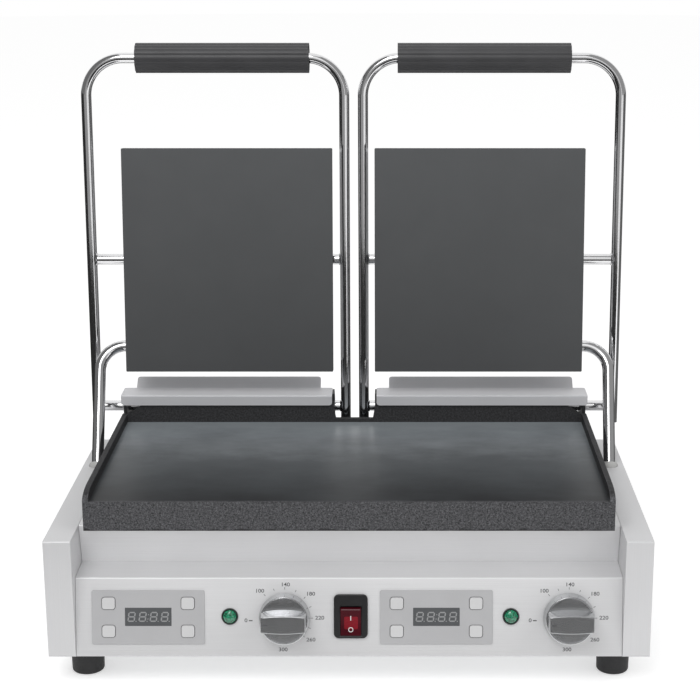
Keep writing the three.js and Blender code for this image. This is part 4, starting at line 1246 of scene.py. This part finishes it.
@dataclass
class TimerPanel:
    """Film overlay, display and four keys."""

    finishes: Finishes
    side: str
    centre: float
    width: float = 103.0
    height: float = 50.0
    corner: float = 1.6
    film: float = 0.8
    film_back: float = -0.15
    window_width: float = 42.6
    window_height: float = 17.0
    window_front: float = -0.75
    key_width: float = 11.8
    key_height: float = 11.0
    key_corner: float = 2.4
    key_gap: float = 0.3
    key_rise: float = 0.7
    key_depth: float = 3.4
    gap_shade_width: float = 0.25
    digit_places: tuple[float, ...] = (-15.2, -5.1, 5.0, 15.1)
    digit_height: float = 9.2
    digit_width: float = 5.6
    slant: float = 0.14
    bar: float = 1.15
    bar_gap: float = 0.22
    dot: float = 0.9

    def build(self) -> None:
        """Make the film, display and keys."""
        self.overlay()
        self.display()
        self.keys()
        dress(f"{self.side}_timer_module", self.finishes.board)

    def overlay(self) -> None:
        """Film with a window and four key holes, and dark ink rings that paint the shade of the gaps round the keys.
        """
        place = BODY.panel_frame(self.centre, BODY.overlay_down)
        face = self.film_back - self.film
        film = Shape().slab(rectangle(self.width, self.height, self.corner), self.film_back, face, 0.12, 2)
        film = film.done(f"{self.side}_timer_film", place)
        hole = (self.key_width + 2 * self.key_gap, self.key_height + 2 * self.key_gap)
        tools = [Shape().slab(rectangle(*hole, self.key_corner + self.key_gap), 4.0, -4.0)
                 .done("key_cut", place @ move(x, 0, z)) for x, z in BODY.key_places()]
        window = Shape().slab(rectangle(self.window_width, self.window_height, 0.5), 4.0, -4.0)
        tools.append(window.done("window_cut", BODY.panel_frame(self.centre, BODY.window_down)))
        fit(carve(film, tools), self.finishes.film, "base", [f"{self.side}_timer_overlay"])
        # Painted shade: a dark ink ring round each key hole widens the shade of the gap round the key
        gap_shades = Shape()
        for x, z in BODY.key_places():
            outer = rounded_outline(*(size + 2 * self.gap_shade_width for size in hole), self.key_corner + 0.55)
            inner = rounded_outline(*hole, self.key_corner + 0.3)
            front, back = face - 0.05, face + 0.02
            gap_shades.loft([[Vector((a + x, y, b + z)) for a, b in line] for line, y in
                       ((outer, back), (outer, front), (inner, front), (inner, back))], ring_closed=True)
        fit(gap_shades.done(f"{self.side}_key_gap_painted_shade", place), self.finishes.ink, "base")

    def display(self) -> None:
        """Dark window with its unlit segments."""
        place = BODY.panel_frame(self.centre, BODY.window_down)
        window = Shape().slab(rectangle(self.window_width - 0.1, self.window_height - 0.1, 0.45),
                              0.25, self.window_front, 0.12, 2)
        fit(window.done(f"{self.side}_display_window", place), self.finishes.window, "base")
        segments = Shape()
        for x in self.digit_places:
            self.digit(segments, x)
        half = self.dot / 2
        for z in (2.0, -2.0):
            self.mark(segments, [(-half, z - half), (half, z - half), (half, z + half), (-half, z + half)], 0.0)
        fit(segments.done(f"{self.side}_display_segments", place), self.finishes.segment, "base")

    def mark(self, shape: Shape, points: Outline, x: float) -> None:
        """Thin slanted mark on the display.

        Args:
            shape: the shape it joins.
            points: its outline.
            x: where its digit stands.
        """
        shape.loft([[Vector((x + a + b * self.slant, y, b)) for a, b in points] for y in (-0.74, -0.79)])

    def digit(self, shape: Shape, x: float) -> None:
        """Seven bars and a point.

        Args:
            shape: the shape they join.
            x: the digit's place across the display.
        """
        half, step, thick, gap = self.digit_width / 2, self.digit_height / 2, self.bar / 2, self.bar_gap
        reach = half - gap
        for z in (-step, 0.0, step):
            centre = z - math.copysign(thick, z) if z else 0.0
            self.mark(shape, [(-reach, centre), (-reach + thick, centre - thick), (reach - thick, centre - thick),
                              (reach, centre), (reach - thick, centre + thick), (-reach + thick, centre + thick)], x)
        for centre in (-half, half):
            for low, high in ((-step + thick, 0.0), (0.0, step - thick)):
                start, end = low + gap, high - gap
                self.mark(shape, [(centre, start), (centre + thick, start + thick), (centre + thick, end - thick),
                                  (centre, end), (centre - thick, end - thick), (centre - thick, start + thick)], x)
        left, right, top = half + 1.3, half + 1.3 + self.dot, -step + self.dot
        self.mark(shape, [(left, -step), (right, -step), (right, top), (left, top)], x)

    def keys(self) -> None:
        """Four key caps with soft edges, each on its own body."""
        front = self.film_back - self.film - self.key_rise
        place = BODY.panel_frame(self.centre, BODY.overlay_down)
        for index, (x, z) in enumerate(BODY.key_places()):
            name = f"{self.side}_timer_key_{index + 1}"
            cap = Shape().slab(rectangle(self.key_width, self.key_height, self.key_corner),
                               front + self.key_depth, front, 0.35, 3)
            fit(cap.done(f"{name}_cap", place @ move(x, 0, z)), self.finishes.key, name, [name])


@dataclass
class SignalLamp:
    """Green lamp with a dark bezel."""

    finishes: Finishes
    side: str
    x: float
    radius: float = 7.7
    lens_radius: float = 6.1
    lens_base: float = 1.2
    lens_rise: float = 3.0
    sides: int = 56

    def build(self) -> None:
        """Turn the bezel and the lens."""
        place = BODY.panel_frame(self.x, BODY.lamp_down)
        bezel = [(5.0, -16.0), (5.6, -15.4), (5.6, 0.3), (self.radius, 0.3), (self.radius, 1.0),
                 (self.radius - 0.35, 1.6), (self.radius - 0.9, 1.7), (6.3, 1.2), (6.0, 0.6), (5.0, 0.6)]
        rim = Shape().turned(bezel, self.sides, OUTWARD, ring_closed=True)
        fit(rim.done(f"{self.side}_lamp_bezel", place), self.finishes.bezel, "base",
            [f"{self.side}_lamp"])
        dome = [(AXIS, 0.4), (self.lens_radius, 0.4), (self.lens_radius, self.lens_base)]
        dome += [(self.lens_radius * math.cos(a), self.lens_base + self.lens_rise * math.sin(a))
                 for a in quarter(8)[1:-1]]
        dome.append((AXIS, self.lens_base + self.lens_rise))
        lens = Shape().turned(dome, self.sides, OUTWARD)
        fit(lens.done(f"{self.side}_lamp_lens", place), self.finishes.lens, "base")


@dataclass
class HeatDial:
    """Silvered knob with its shaft, thermostat and printed scale.

    Foot and front give the grip bar's length, half width at mid length and half width at its ends.
    """

    finishes: Finishes
    side: str
    x: float
    bore: float = 3.15
    base_radius: float = 23.6
    face_radius: float = 22.2
    lift: float = 1.2
    skirt: float = 12.0
    face_edge: float = 0.9
    bar_height: float = 16.5
    bar_edge: float = 0.6
    foot: tuple[float, float, float] = (42.0, 10.6, 8.4)
    front: tuple[float, float, float] = (40.2, 8.1, 6.9)
    bar_limit: float = 21.9
    tick_middle: float = 26.2
    tick_drift: float = 1.3
    tick_length: float = 2.1
    tick_half: float = 0.22
    tick_angles: tuple[float, ...] = (130.7, 110.5, 89.8, 67.9, 45.9, 23.7, -0.2, -22.2, -44.4)
    number_height: float = 3.5
    number_stretch: float = 1.15
    numbers: tuple[tuple[str, float, float], ...] = (
        ("0", -35.4, -2.3), ("100", -22.8, 25.1), ("140", 0.7, 30.9), ("180", 23.7, 22.3), ("220", 32.0, 0.1),
        ("260", 23.9, -20.2), ("300", -1.6, -29.3))

    def build(self) -> None:
        """Make the knob and its scale, and dress the rest."""
        self.place = BODY.panel_frame(self.x, BODY.dial_down)
        self.knob()
        self.scale()
        shaft = Shape().turned([(AXIS, -15.6), (2.5, -15.6), (3.0, -15.1), (3.0, 11.4), (2.5, 11.9), (AXIS, 11.9)],
                               32, OUTWARD)
        fit(shaft.done(f"{self.side}_shaft_rod", self.place), self.finishes.rod, f"{self.side}_dial",
            [f"{self.side}_control_shaft"])
        dress(f"{self.side}_thermostat", self.finishes.galvanised, 0.5)

    def bowed(self, size: tuple[float, float, float], inset: float) -> Outline:
        """Outline of the grip bar, whose long edges bow outwards.

        Args:
            size: length, half width at mid length and half width at the ends.
            inset: distance that the outline is drawn in.

        Returns:
            Points round the bar.
        """
        length, middle, end = size
        points: Outline = []
        for side in (-1, 1):
            for i in range(17):
                across = i / 8 - 1
                half = end + (middle - end) * (1 - across * across) - inset
                x, z = -side * across * (length / 2 - inset), side * half
                shrink = min(1.0, (self.bar_limit - inset) / math.hypot(x, z))
                points.append((x * shrink, z * shrink))
        return points

    def knob(self) -> None:
        """Tapered skirt with a raised grip bar, cut to the skirt's circle, and the bar's pointer."""
        face, edge, body = self.lift + self.skirt, self.face_edge, f"{self.side}_dial"
        rounding = [(self.face_radius - edge * (1 - math.cos(a)), face - edge * (1 - math.sin(a)))
                    for a in quarter(4)]
        profile = [(self.bore, self.lift), (self.base_radius - 0.4, self.lift), (self.base_radius, self.lift + 0.4),
                   (self.base_radius - 0.1, self.lift + 0.9), *rounding, (self.face_radius - 2.0, face),
                   (self.face_radius - 2.4, face - 0.35), (self.bore, face - 0.35)]
        skirt = Shape().turned(profile, 96, OUTWARD, ring_closed=True).done(f"{self.side}_knob_body", self.place)
        back, front = -(face - edge), -(face + self.bar_height)
        stops = []
        for share in (0.0, 0.92):
            size = tuple(a + (b - a) * share for a, b in zip(self.foot, self.front))
            stops.append((back + (front - back) * share, size, 0.0))
        for a in quarter(4)[1:]:
            stops.append((front + self.bar_edge * (1 - math.sin(a)), self.front, self.bar_edge * (1 - math.cos(a))))
        bar = Shape().loft([[Vector((x, y, z)) for x, z in self.bowed(size, inset)] for y, size, inset in stops])
        fit(skirt, self.finishes.knob, body, [f"{self.side}_knob"])
        fit(bar.done(f"{self.side}_knob_bar", self.place), self.finishes.knob, body)
        x = -self.front[0] / 2
        start, end, half = x + 1.6, x + 6.4, 0.45
        corners = [(start, -half), (end, -half), (end, half), (start, half)]
        line = Shape().loft([[Vector((a, y, b)) for a, b in corners] for y in (front + 0.02, front - 0.04)])
        fit(line.done(f"{self.side}_knob_pointer", self.place), self.finishes.ink, body)

    def scale(self) -> None:
        """Printed ticks and numbers round the knob."""
        marks = Shape()
        for angle in self.tick_angles:
            bearing = math.radians(angle)
            turn = Matrix.Rotation(-bearing, 4, "Y")
            middle = self.tick_middle + self.tick_drift * (math.sin(bearing) - math.cos(bearing))
            start, end, half = middle - self.tick_length / 2, middle + self.tick_length / 2, self.tick_half
            corners = [(start, -half), (end, -half), (end, half), (start, half)]
            marks.loft([[turn @ Vector((a, y, b)) for a, b in corners] for y in (0.02, -0.05)])
        dash = [(-32.8, -2.9), (-29.4, -2.9), (-29.4, -1.9), (-32.8, -1.9)]
        marks.loft([[Vector((a, y, b)) for a, b in dash] for y in (0.02, -0.05)])
        fit(marks.done(f"{self.side}_dial_ticks", self.place), self.finishes.ink, "base")
        for words, x, z in self.numbers:
            text = lettering(f"{self.side}_dial_number_{words}", words, self.number_height,
                             self.place @ move(x, 0, z), self.number_stretch)
            fit(text, self.finishes.ink, "base")


@dataclass
class MainsSwitch:
    """Black bezel with a red rocker."""

    finishes: Finishes
    well_drop: float = 4.0
    tilt: float = math.radians(7.0)
    half: float = 12.8
    half_width: float = 9.4
    thick: float = 6.5
    dish: float = 1.6
    edge: float = 0.5
    lens_from: float = -7.1
    lens_length: float = 12.0
    lens_ends: tuple[float, float] = (-6.0, 6.6)
    lens_corner: float = 1.2
    off_z: float = -7.5

    def build(self) -> None:
        """Make the bezel and its can, both with the rocker's well cut out, and the rocker."""
        place = BODY.panel_frame(BODY.switch_x, BODY.switch_down)
        bezel = Shape().slab(rectangle(31.0, 40.6, 4.6), -0.3, -2.7, 1.0, 4)
        can = Shape().slab(lambda _: rounded_outline(27.0, 38.6, 1.0, 3), 22.0, -0.9, 0.2)
        for name, shape, nodes in (("switch_bezel", bezel, ["switch_housing"]), ("switch_can", can, [])):
            piece = shape.done(name, place)
            well = Shape().slab(rectangle(19.4, 27.2, 0.8, 3), 12.0, -6.0)
            well = well.done("well_cut", place @ move(0, 0, -self.well_drop))
            fit(carve(piece, [well]), self.finishes.black, "base", nodes)
        self.place = place @ move(0, 2.0, -self.well_drop) @ Matrix.Rotation(self.tilt, 4, "X")
        self.rocker()
        self.signs()

    def face(self, z: float) -> float:
        """How far out the rocker's dished face lies at a height."""
        return -self.thick + self.dish * (1 - (z / self.half) ** 2)

    def rocker(self, faces: int = 14) -> None:
        """Dished red rocker with soft ends.

        Args:
            faces: steps down its dished face.
        """
        half, width, edge = self.half, self.half_width, self.edge
        heights = [half - 2 * half * i / faces for i in range(faces + 1)]
        profile = [(2.0, -half / 2), (2.0, half / 2), (-2.0, half), *((self.face(z), z) for z in heights),
                   (-2.0, -half)]
        rings = []
        for x, inset in ((-width, edge), (-width + edge * 0.3, edge * 0.3), (-width + edge, 0.0),
                         (width - edge, 0.0), (width - edge * 0.3, edge * 0.3), (width, edge)):
            rings.append([Vector((x, y + (inset if y < 0 else -inset), z * (1 - inset / half))) for y, z in profile])
        fit(Shape().loft(rings).done("rocker_cap", self.place, 40.0), self.finishes.red, "rocker",
            ["switch_rocker"])

    def mark(self, name: str, spans: Sequence[tuple[float, float, float]], rise: float,
             material: bpy.types.Material) -> None:
        """Thin mark that follows the rocker's dished face.

        Args:
            name: the mark's name.
            spans: heights with the mark's left and right ends.
            rise: how far it stands out of the face.
            material: its material.
        """
        rings = [[Vector((left, self.face(z) + 0.1, z)), Vector((right, self.face(z) + 0.1, z)),
                  Vector((right, self.face(z) - rise, z)), Vector((left, self.face(z) - rise, z))]
                 for z, left, right in spans]
        fit(Shape().loft(rings).done(name, self.place, 60.0), material, "rocker")

    def signs(self) -> None:
        """Brighter lens with round corners, the two signs and a painted highlight line along the top edge."""
        left, right = self.lens_ends
        lens = []
        for i in range(25):
            lack = max(self.lens_corner - min(i, 24 - i) * 0.5, 0.0)
            inset = self.lens_corner - math.sqrt(max(self.lens_corner ** 2 - lack ** 2, 0.0))
            lens.append((self.lens_from + self.lens_length * i / 24, left + inset, right - inset))
        self.mark("rocker_lens", lens, 0.05, self.finishes.red_lens)
        self.mark("rocker_sign_on", [(1.1 + 0.45 * i, -0.4, 0.4) for i in range(11)], 0.10, self.finishes.white_ink)
        # Painted highlight: a pale line where the rocker's top edge would catch the light
        self.mark("rocker_painted_highlight_line", [(self.half - 1.2 + 0.1 * i, -8.6, 8.6) for i in range(7)], 0.04,
                  self.finishes.painted_highlight_red)
        section = ((2.3, -0.1), (2.3, 0.10), (1.65, 0.10), (1.65, -0.1))
        rings = [[Vector((x, self.face(z + self.off_z) - lift, z + self.off_z))
                  for x, z in circle_outline(radius, 32)] for radius, lift in section]
        fit(Shape().loft(rings, ring_closed=True).done("rocker_sign_off", self.place, 60.0),
            self.finishes.white_ink, "rocker")


@dataclass
class Hinge:
    """Brackets, torsion spring and its cover on the deck."""

    finishes: Finishes
    side: str
    sign: int
    cover_line: Sequence[tuple[float, float]] = ((263.6, 190.5), (263.6, 201.3), (292.1, 201.3), (303.1, 210.5))
    cover_wall: float = 1.0
    cover_fold: float = 0.8
    cover_rise: float = 14.3
    cover_corner: float = 3.0
    cover_wide: tuple[float, float] = (23.2, 242.6)
    cover_narrow: tuple[float, float] = (36.0, 230.0)

    def build(self) -> None:
        """Dress the brackets, and make the cover and the spring."""
        for place in ("inner", "outer"):
            dress(f"{self.side}_{place}_hinge_bracket", self.finishes.dark, 0.5)
        self.cover()
        self.spring()

    def cover(self) -> None:
        """Folded cover over the shaft, with round corners and a narrower raised rear."""
        path = folded_path(self.cover_line, self.cover_wall, self.cover_fold)
        lengths = [0.0]
        for (here, _), (there, _) in zip(path, path[1:]):
            lengths.append(lengths[-1] + (there - here).length)
        total = lengths[-1]
        shoulder = total - self.cover_rise
        marks = set(lengths)
        for i in range(9):
            near = self.cover_corner * i / 8
            marks.update((near, shoulder - near, shoulder + 0.01, total - near))
        stations, spans = [], []
        for mark in sorted(marks):
            i = max(j for j in range(len(path) - 1) if lengths[j] <= mark + 1e-9)
            share = (mark - lengths[i]) / (lengths[i + 1] - lengths[i])
            point, heading = (here.lerp(there, share) for here, there in zip(path[i], path[i + 1]))
            stations.append((point, heading.normalized()))
            wide = mark <= shoulder
            start, end = self.cover_wide if wide else self.cover_narrow
            ends = (mark, shoulder - mark) if wide else (total - mark,)
            lack = max(self.cover_corner - min(ends), 0.0)
            inset = self.cover_corner - math.sqrt(max(self.cover_corner ** 2 - lack ** 2, 0.0))
            spans.append((self.sign * (start + inset), self.sign * (end - inset)))
        sheet = Shape().folded(stations, self.cover_wall, spans)
        fit(sheet.done(f"{self.side}_shaft_cover", DRAWING), self.finishes.shield, "base",
            [f"{self.side}_spring_cover"])

    def spring(self, steps: int = 24) -> None:
        """Coil with a straight leg down to the deck.

        Args:
            steps: steps on each turn.
        """
        foot = BODY.deck_top + COIL.gap + COIL.wire - BODY.hinge_z
        path = [(Vector((self.sign * COIL.start, -COIL.radius, foot * (1 - i / 6))), Vector((0, 0, 1)))
                for i in range(6)]
        for i in range(COIL.turns * steps + 1):
            angle = math.tau * i / steps
            x = self.sign * (COIL.start + COIL.pitch * i / steps)
            point = Vector((x, -COIL.radius * math.cos(angle), COIL.radius * math.sin(angle)))
            heading = Vector((self.sign * COIL.pitch / math.tau, COIL.radius * math.sin(angle),
                              COIL.radius * math.cos(angle))).normalized()
            path.append((point, heading))
        fit(Shape().swept(path, COIL.wire, 12, 0.3).done(f"{self.side}_spring_coil", BODY.hinge_frame()),
            self.finishes.spring, "base", [f"{self.side}_torsion_spring"])


@dataclass
class Lid:
    """Bent rod frame, crossbar, shaft and grip of one lid."""

    finishes: Finishes
    side: str
    sign: int
    arm_radius: float = 5.2
    outer_x: float = 272.5
    inner_x: float = 9.55
    stub: float = 18.0
    reach: float = 363.2
    bend: float = 38.0
    sunk: float = 0.4
    crossbar_radius: float = 5.5
    shaft_radius: float = 5.6
    grip_radius: float = 15.2
    grip_from: float = 44.95
    grip_to: float = 220.4
    grip_edge: float = 1.3
    flutes: int = 14
    flute_depth: float = 0.62

    def build(self) -> None:
        """Bend the frame and make what it carries."""
        self.arms, self.body = BODY.arm_frame(), f"{self.side}_lid"
        corners = [Vector((self.sign * x, 0.0, z)) for x, z in (
            (self.outer_x, -self.stub), (self.outer_x, self.reach), (self.inner_x, self.reach),
            (self.inner_x, -self.stub))]
        rod = Shape().swept(bent_path(corners, self.bend, 20), self.arm_radius, 36, 0.8)
        fit(rod.done(f"{self.side}_lid_rod", self.arms), self.finishes.rod, self.body,
            [f"{self.side}_lid_frame"])
        bar = Shape().swept(self.level(BODY.crossbar_reach), self.crossbar_radius, 32, 0.3)
        fit(bar.done(f"{self.side}_crossbar_rod", self.arms), self.finishes.rod, self.body,
            [f"{self.side}_crossbar"])
        self.welds()
        self.shaft()
        self.grip()

    def level(self, height: float) -> list[Station]:
        """Straight path from arm to arm at a height, with its ends sunk into them.

        Args:
            height: its height up the arms.

        Returns:
            Both ends with their headings.
        """
        heading = Vector((self.sign, 0, 0))
        ends = (self.inner_x + self.arm_radius - self.sunk, self.outer_x - self.arm_radius + self.sunk)
        return [(Vector((self.sign * x, 0, height)), heading) for x in ends]

    def welds(self) -> None:
        """Small weld beads where the crossbar and the shaft meet the arms."""
        beads = Shape()
        for height, radius in ((BODY.crossbar_reach, self.crossbar_radius), (0.0, self.shaft_radius)):
            for x, turn in ((self.inner_x + self.arm_radius - 0.5, 1), (self.outer_x - self.arm_radius + 0.5, -1)):
                place = move(self.sign * x, 0, height) @ Matrix.Rotation(self.sign * turn * math.pi / 2, 4, "Y")
                profile = [(radius - 0.6, 0.0), (radius + 1.0, 0.0), (radius + 0.8, 0.7), (radius + 0.25, 1.4),
                           (radius - 0.6, 1.7)]
                beads.turned(profile, 32, place, ring_closed=True)
        fit(beads.done(f"{self.side}_weld_beads", self.arms), self.finishes.screw, self.body)

    def shaft(self) -> None:
        """Hinge shaft with the collar and lug that wind the spring."""
        shape = Shape().swept(self.level(0.0), self.shaft_radius, 32, 0.3)
        start = COIL.collar_start()
        turn = move(self.sign * start, 0, 0) @ Matrix.Rotation(self.sign * math.pi / 2, 4, "Y")
        shape.turned([(5.5, 0.0), (13.5, 0.0), (14.0, 0.5), (14.0, 4.5), (13.5, 5.0), (5.5, 5.0)], 40, turn,
                     ring_closed=True)
        lug = move(self.sign * (start + 0.75), -COIL.radius, 2.8)
        shape.slab(lambda i: rounded_outline(8.5 - 2 * i, 5.0 - 2 * i, 0.8 - i / 2, 3), 2.5, -2.5, 0.4, 2, lug)
        fit(shape.done(f"{self.side}_hinge_shaft", BODY.hinge_frame()), self.finishes.rod, self.body,
            [f"{self.side}_hinge_rod"])

    def grip(self) -> None:
        """Fluted sleeve with rounded ends."""
        steps, edge, bore = self.flutes * 10, self.grip_edge, self.arm_radius + 0.3

        def ring(x: float, radius: float, depth: float) -> list[Vector]:
            """One ring of the sleeve.

            Args:
                x: its place along the sleeve.
                radius: its radius.
                depth: depth of its flutes.

            Returns:
                Its points.
            """
            row = []
            for i in range(steps):
                angle = math.tau * i / steps
                size = radius - depth * (0.5 - 0.5 * math.cos(self.flutes * angle)) ** 3
                row.append(Vector((self.sign * x, size * math.cos(angle), self.reach + size * math.sin(angle))))
            return row

        rows = []
        for i, a in enumerate(quarter(5)):
            rows.append(ring(self.grip_from + edge * (1 - math.sin(a)), self.grip_radius - edge * math.cos(a),
                             self.flute_depth if i > 1 else 0.0))
        for i, a in enumerate(quarter(5)):
            rows.append(ring(self.grip_to - edge * (1 - math.cos(a)), self.grip_radius - edge * math.sin(a),
                             self.flute_depth if i < 4 else 0.0))
        rows += [ring(self.grip_to, bore, 0.0), ring(self.grip_from, bore, 0.0)]
        fit(Shape().loft(rows, ring_closed=True).done(f"{self.side}_grip_sleeve", self.arms, 40.0),
            self.finishes.grip, self.body, [f"{self.side}_grip"])


@dataclass
class PressHead:
    """Upper plate with its housing and element. The screws' places are measured from the crossbar."""

    finishes: Finishes
    side: str
    sign: int
    plate_x: float = 128.3
    lean: float = math.radians(6.0)
    screw_x: float = 84.0
    screw_z: float = 90.0
    screw_rise: float = 1.0
    housing_rear: float = 14.6

    def build(self) -> None:
        """Dress the plate, housing and element, and add the housing's screws."""
        dress(f"{self.side}_upper_plate", self.finishes.upper_iron, 0.3)
        dress(f"{self.side}_upper_housing", self.finishes.housing, 0.6, 3)
        dress(f"{self.side}_upper_element", self.finishes.sheath)
        reach, lean = BODY.crossbar_reach, BODY.arm_lean
        crossbar = move(self.sign * self.plate_x, reach * math.sin(lean), reach * math.cos(lean))
        place = BODY.hinge_frame() @ crossbar @ Matrix.Rotation(-self.lean, 4, "X")
        for i, (sx, sz) in enumerate(((-1, -1), (1, -1), (-1, 1), (1, 1))):
            at = place @ move(sx * self.screw_x, self.housing_rear, self.screw_rise + sz * self.screw_z)
            head = screw_head(3.0, 1.9).done(f"{self.side}_housing_screw_{i + 1}", at @ REARWARD)
            fit(head, self.finishes.screw, f"{self.side}_press_head")


@dataclass
class Conduit:
    """Bent tube that carries a lid's wires, and its ball bush."""

    finishes: Finishes
    side: str
    sign: int
    radius: float = 6.0
    hole_x: float = 260.4
    hole_y: float = 211.0
    height: float = 142.4
    lean: float = math.radians(33.1)
    splay: float = 0.03
    run: float = 128.4
    bend: float = 26.0
    tail: float = 10.0
    ball_radius: float = 8.6
    ball_low: float = -4.4
    ball_high: float = 1.9
    bush_bore: float = 6.3

    def build(self) -> None:
        """Bend the tube and turn the bush."""
        heading = Vector((self.sign * self.splay, math.sin(self.lean), math.cos(self.lean))).normalized()
        bush = Vector((self.sign * self.hole_x, self.hole_y, self.height))
        corner = bush + heading * self.run
        low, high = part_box(f"{self.side}_conduit")
        end = (high.x if self.sign < 0 else low.x) / MM
        corners = [bush - heading * self.tail, corner, Vector((end, corner.y, corner.z))]
        tube = Shape().swept(bent_path(corners, self.bend, 18), self.radius, 36, 0.6)
        fit(tube.done(f"{self.side}_conduit_tube", DRAWING), self.finishes.rod, f"{self.side}_wire_tube",
            [f"{self.side}_conduit"])
        start, stop = (math.asin(z / self.ball_radius) for z in (self.ball_low, self.ball_high))
        angles = (start + (stop - start) * i / 12 for i in range(13))
        profile = [(self.bush_bore, self.ball_low),
                   *((self.ball_radius * math.cos(a), self.ball_radius * math.sin(a)) for a in angles),
                   (7.7, 2.6), (6.9, 2.9), (self.bush_bore, 2.8)]
        turn = Vector((0, 0, 1)).rotation_difference(heading).to_matrix().to_4x4()
        ring = Shape().turned(profile, 48, Matrix.Translation(bush) @ turn, ring_closed=True)
        fit(ring.done(f"{self.side}_bush_ring", DRAWING), self.finishes.bush, f"{self.side}_wire_swivel",
            [f"{self.side}_conduit_bush"])


def main() -> None:
    """Build the studio and every sub-assembly, in order."""
    logging.basicConfig(level=logging.INFO, format="%(name)s: %(message)s")
    Studio().build()
    log.info("studio ready")
    finishes = Finishes()
    log.info("finishes ready")
    parts: list[tuple[str, Assembly]] = [("body shell", BodyShell(finishes)), ("lower plate", LowerPlate(finishes)),
                                         ("mains switch", MainsSwitch(finishes))]
    for side, sign in SIDES:
        overlay, lamp, knob = PLACES[side]
        parts += [
            (f"{side} timer", TimerPanel(finishes, side, overlay)),
            (f"{side} lamp", SignalLamp(finishes, side, lamp)),
            (f"{side} heat dial", HeatDial(finishes, side, knob)),
            (f"{side} hinge", Hinge(finishes, side, sign)),
            (f"{side} lid", Lid(finishes, side, sign)),
            (f"{side} press head", PressHead(finishes, side, sign)),
            (f"{side} conduit", Conduit(finishes, side, sign)),
        ]
    for name, part in parts:
        part.build()
        log.info("built %s", name)


if __name__ == "__main__":
    main()
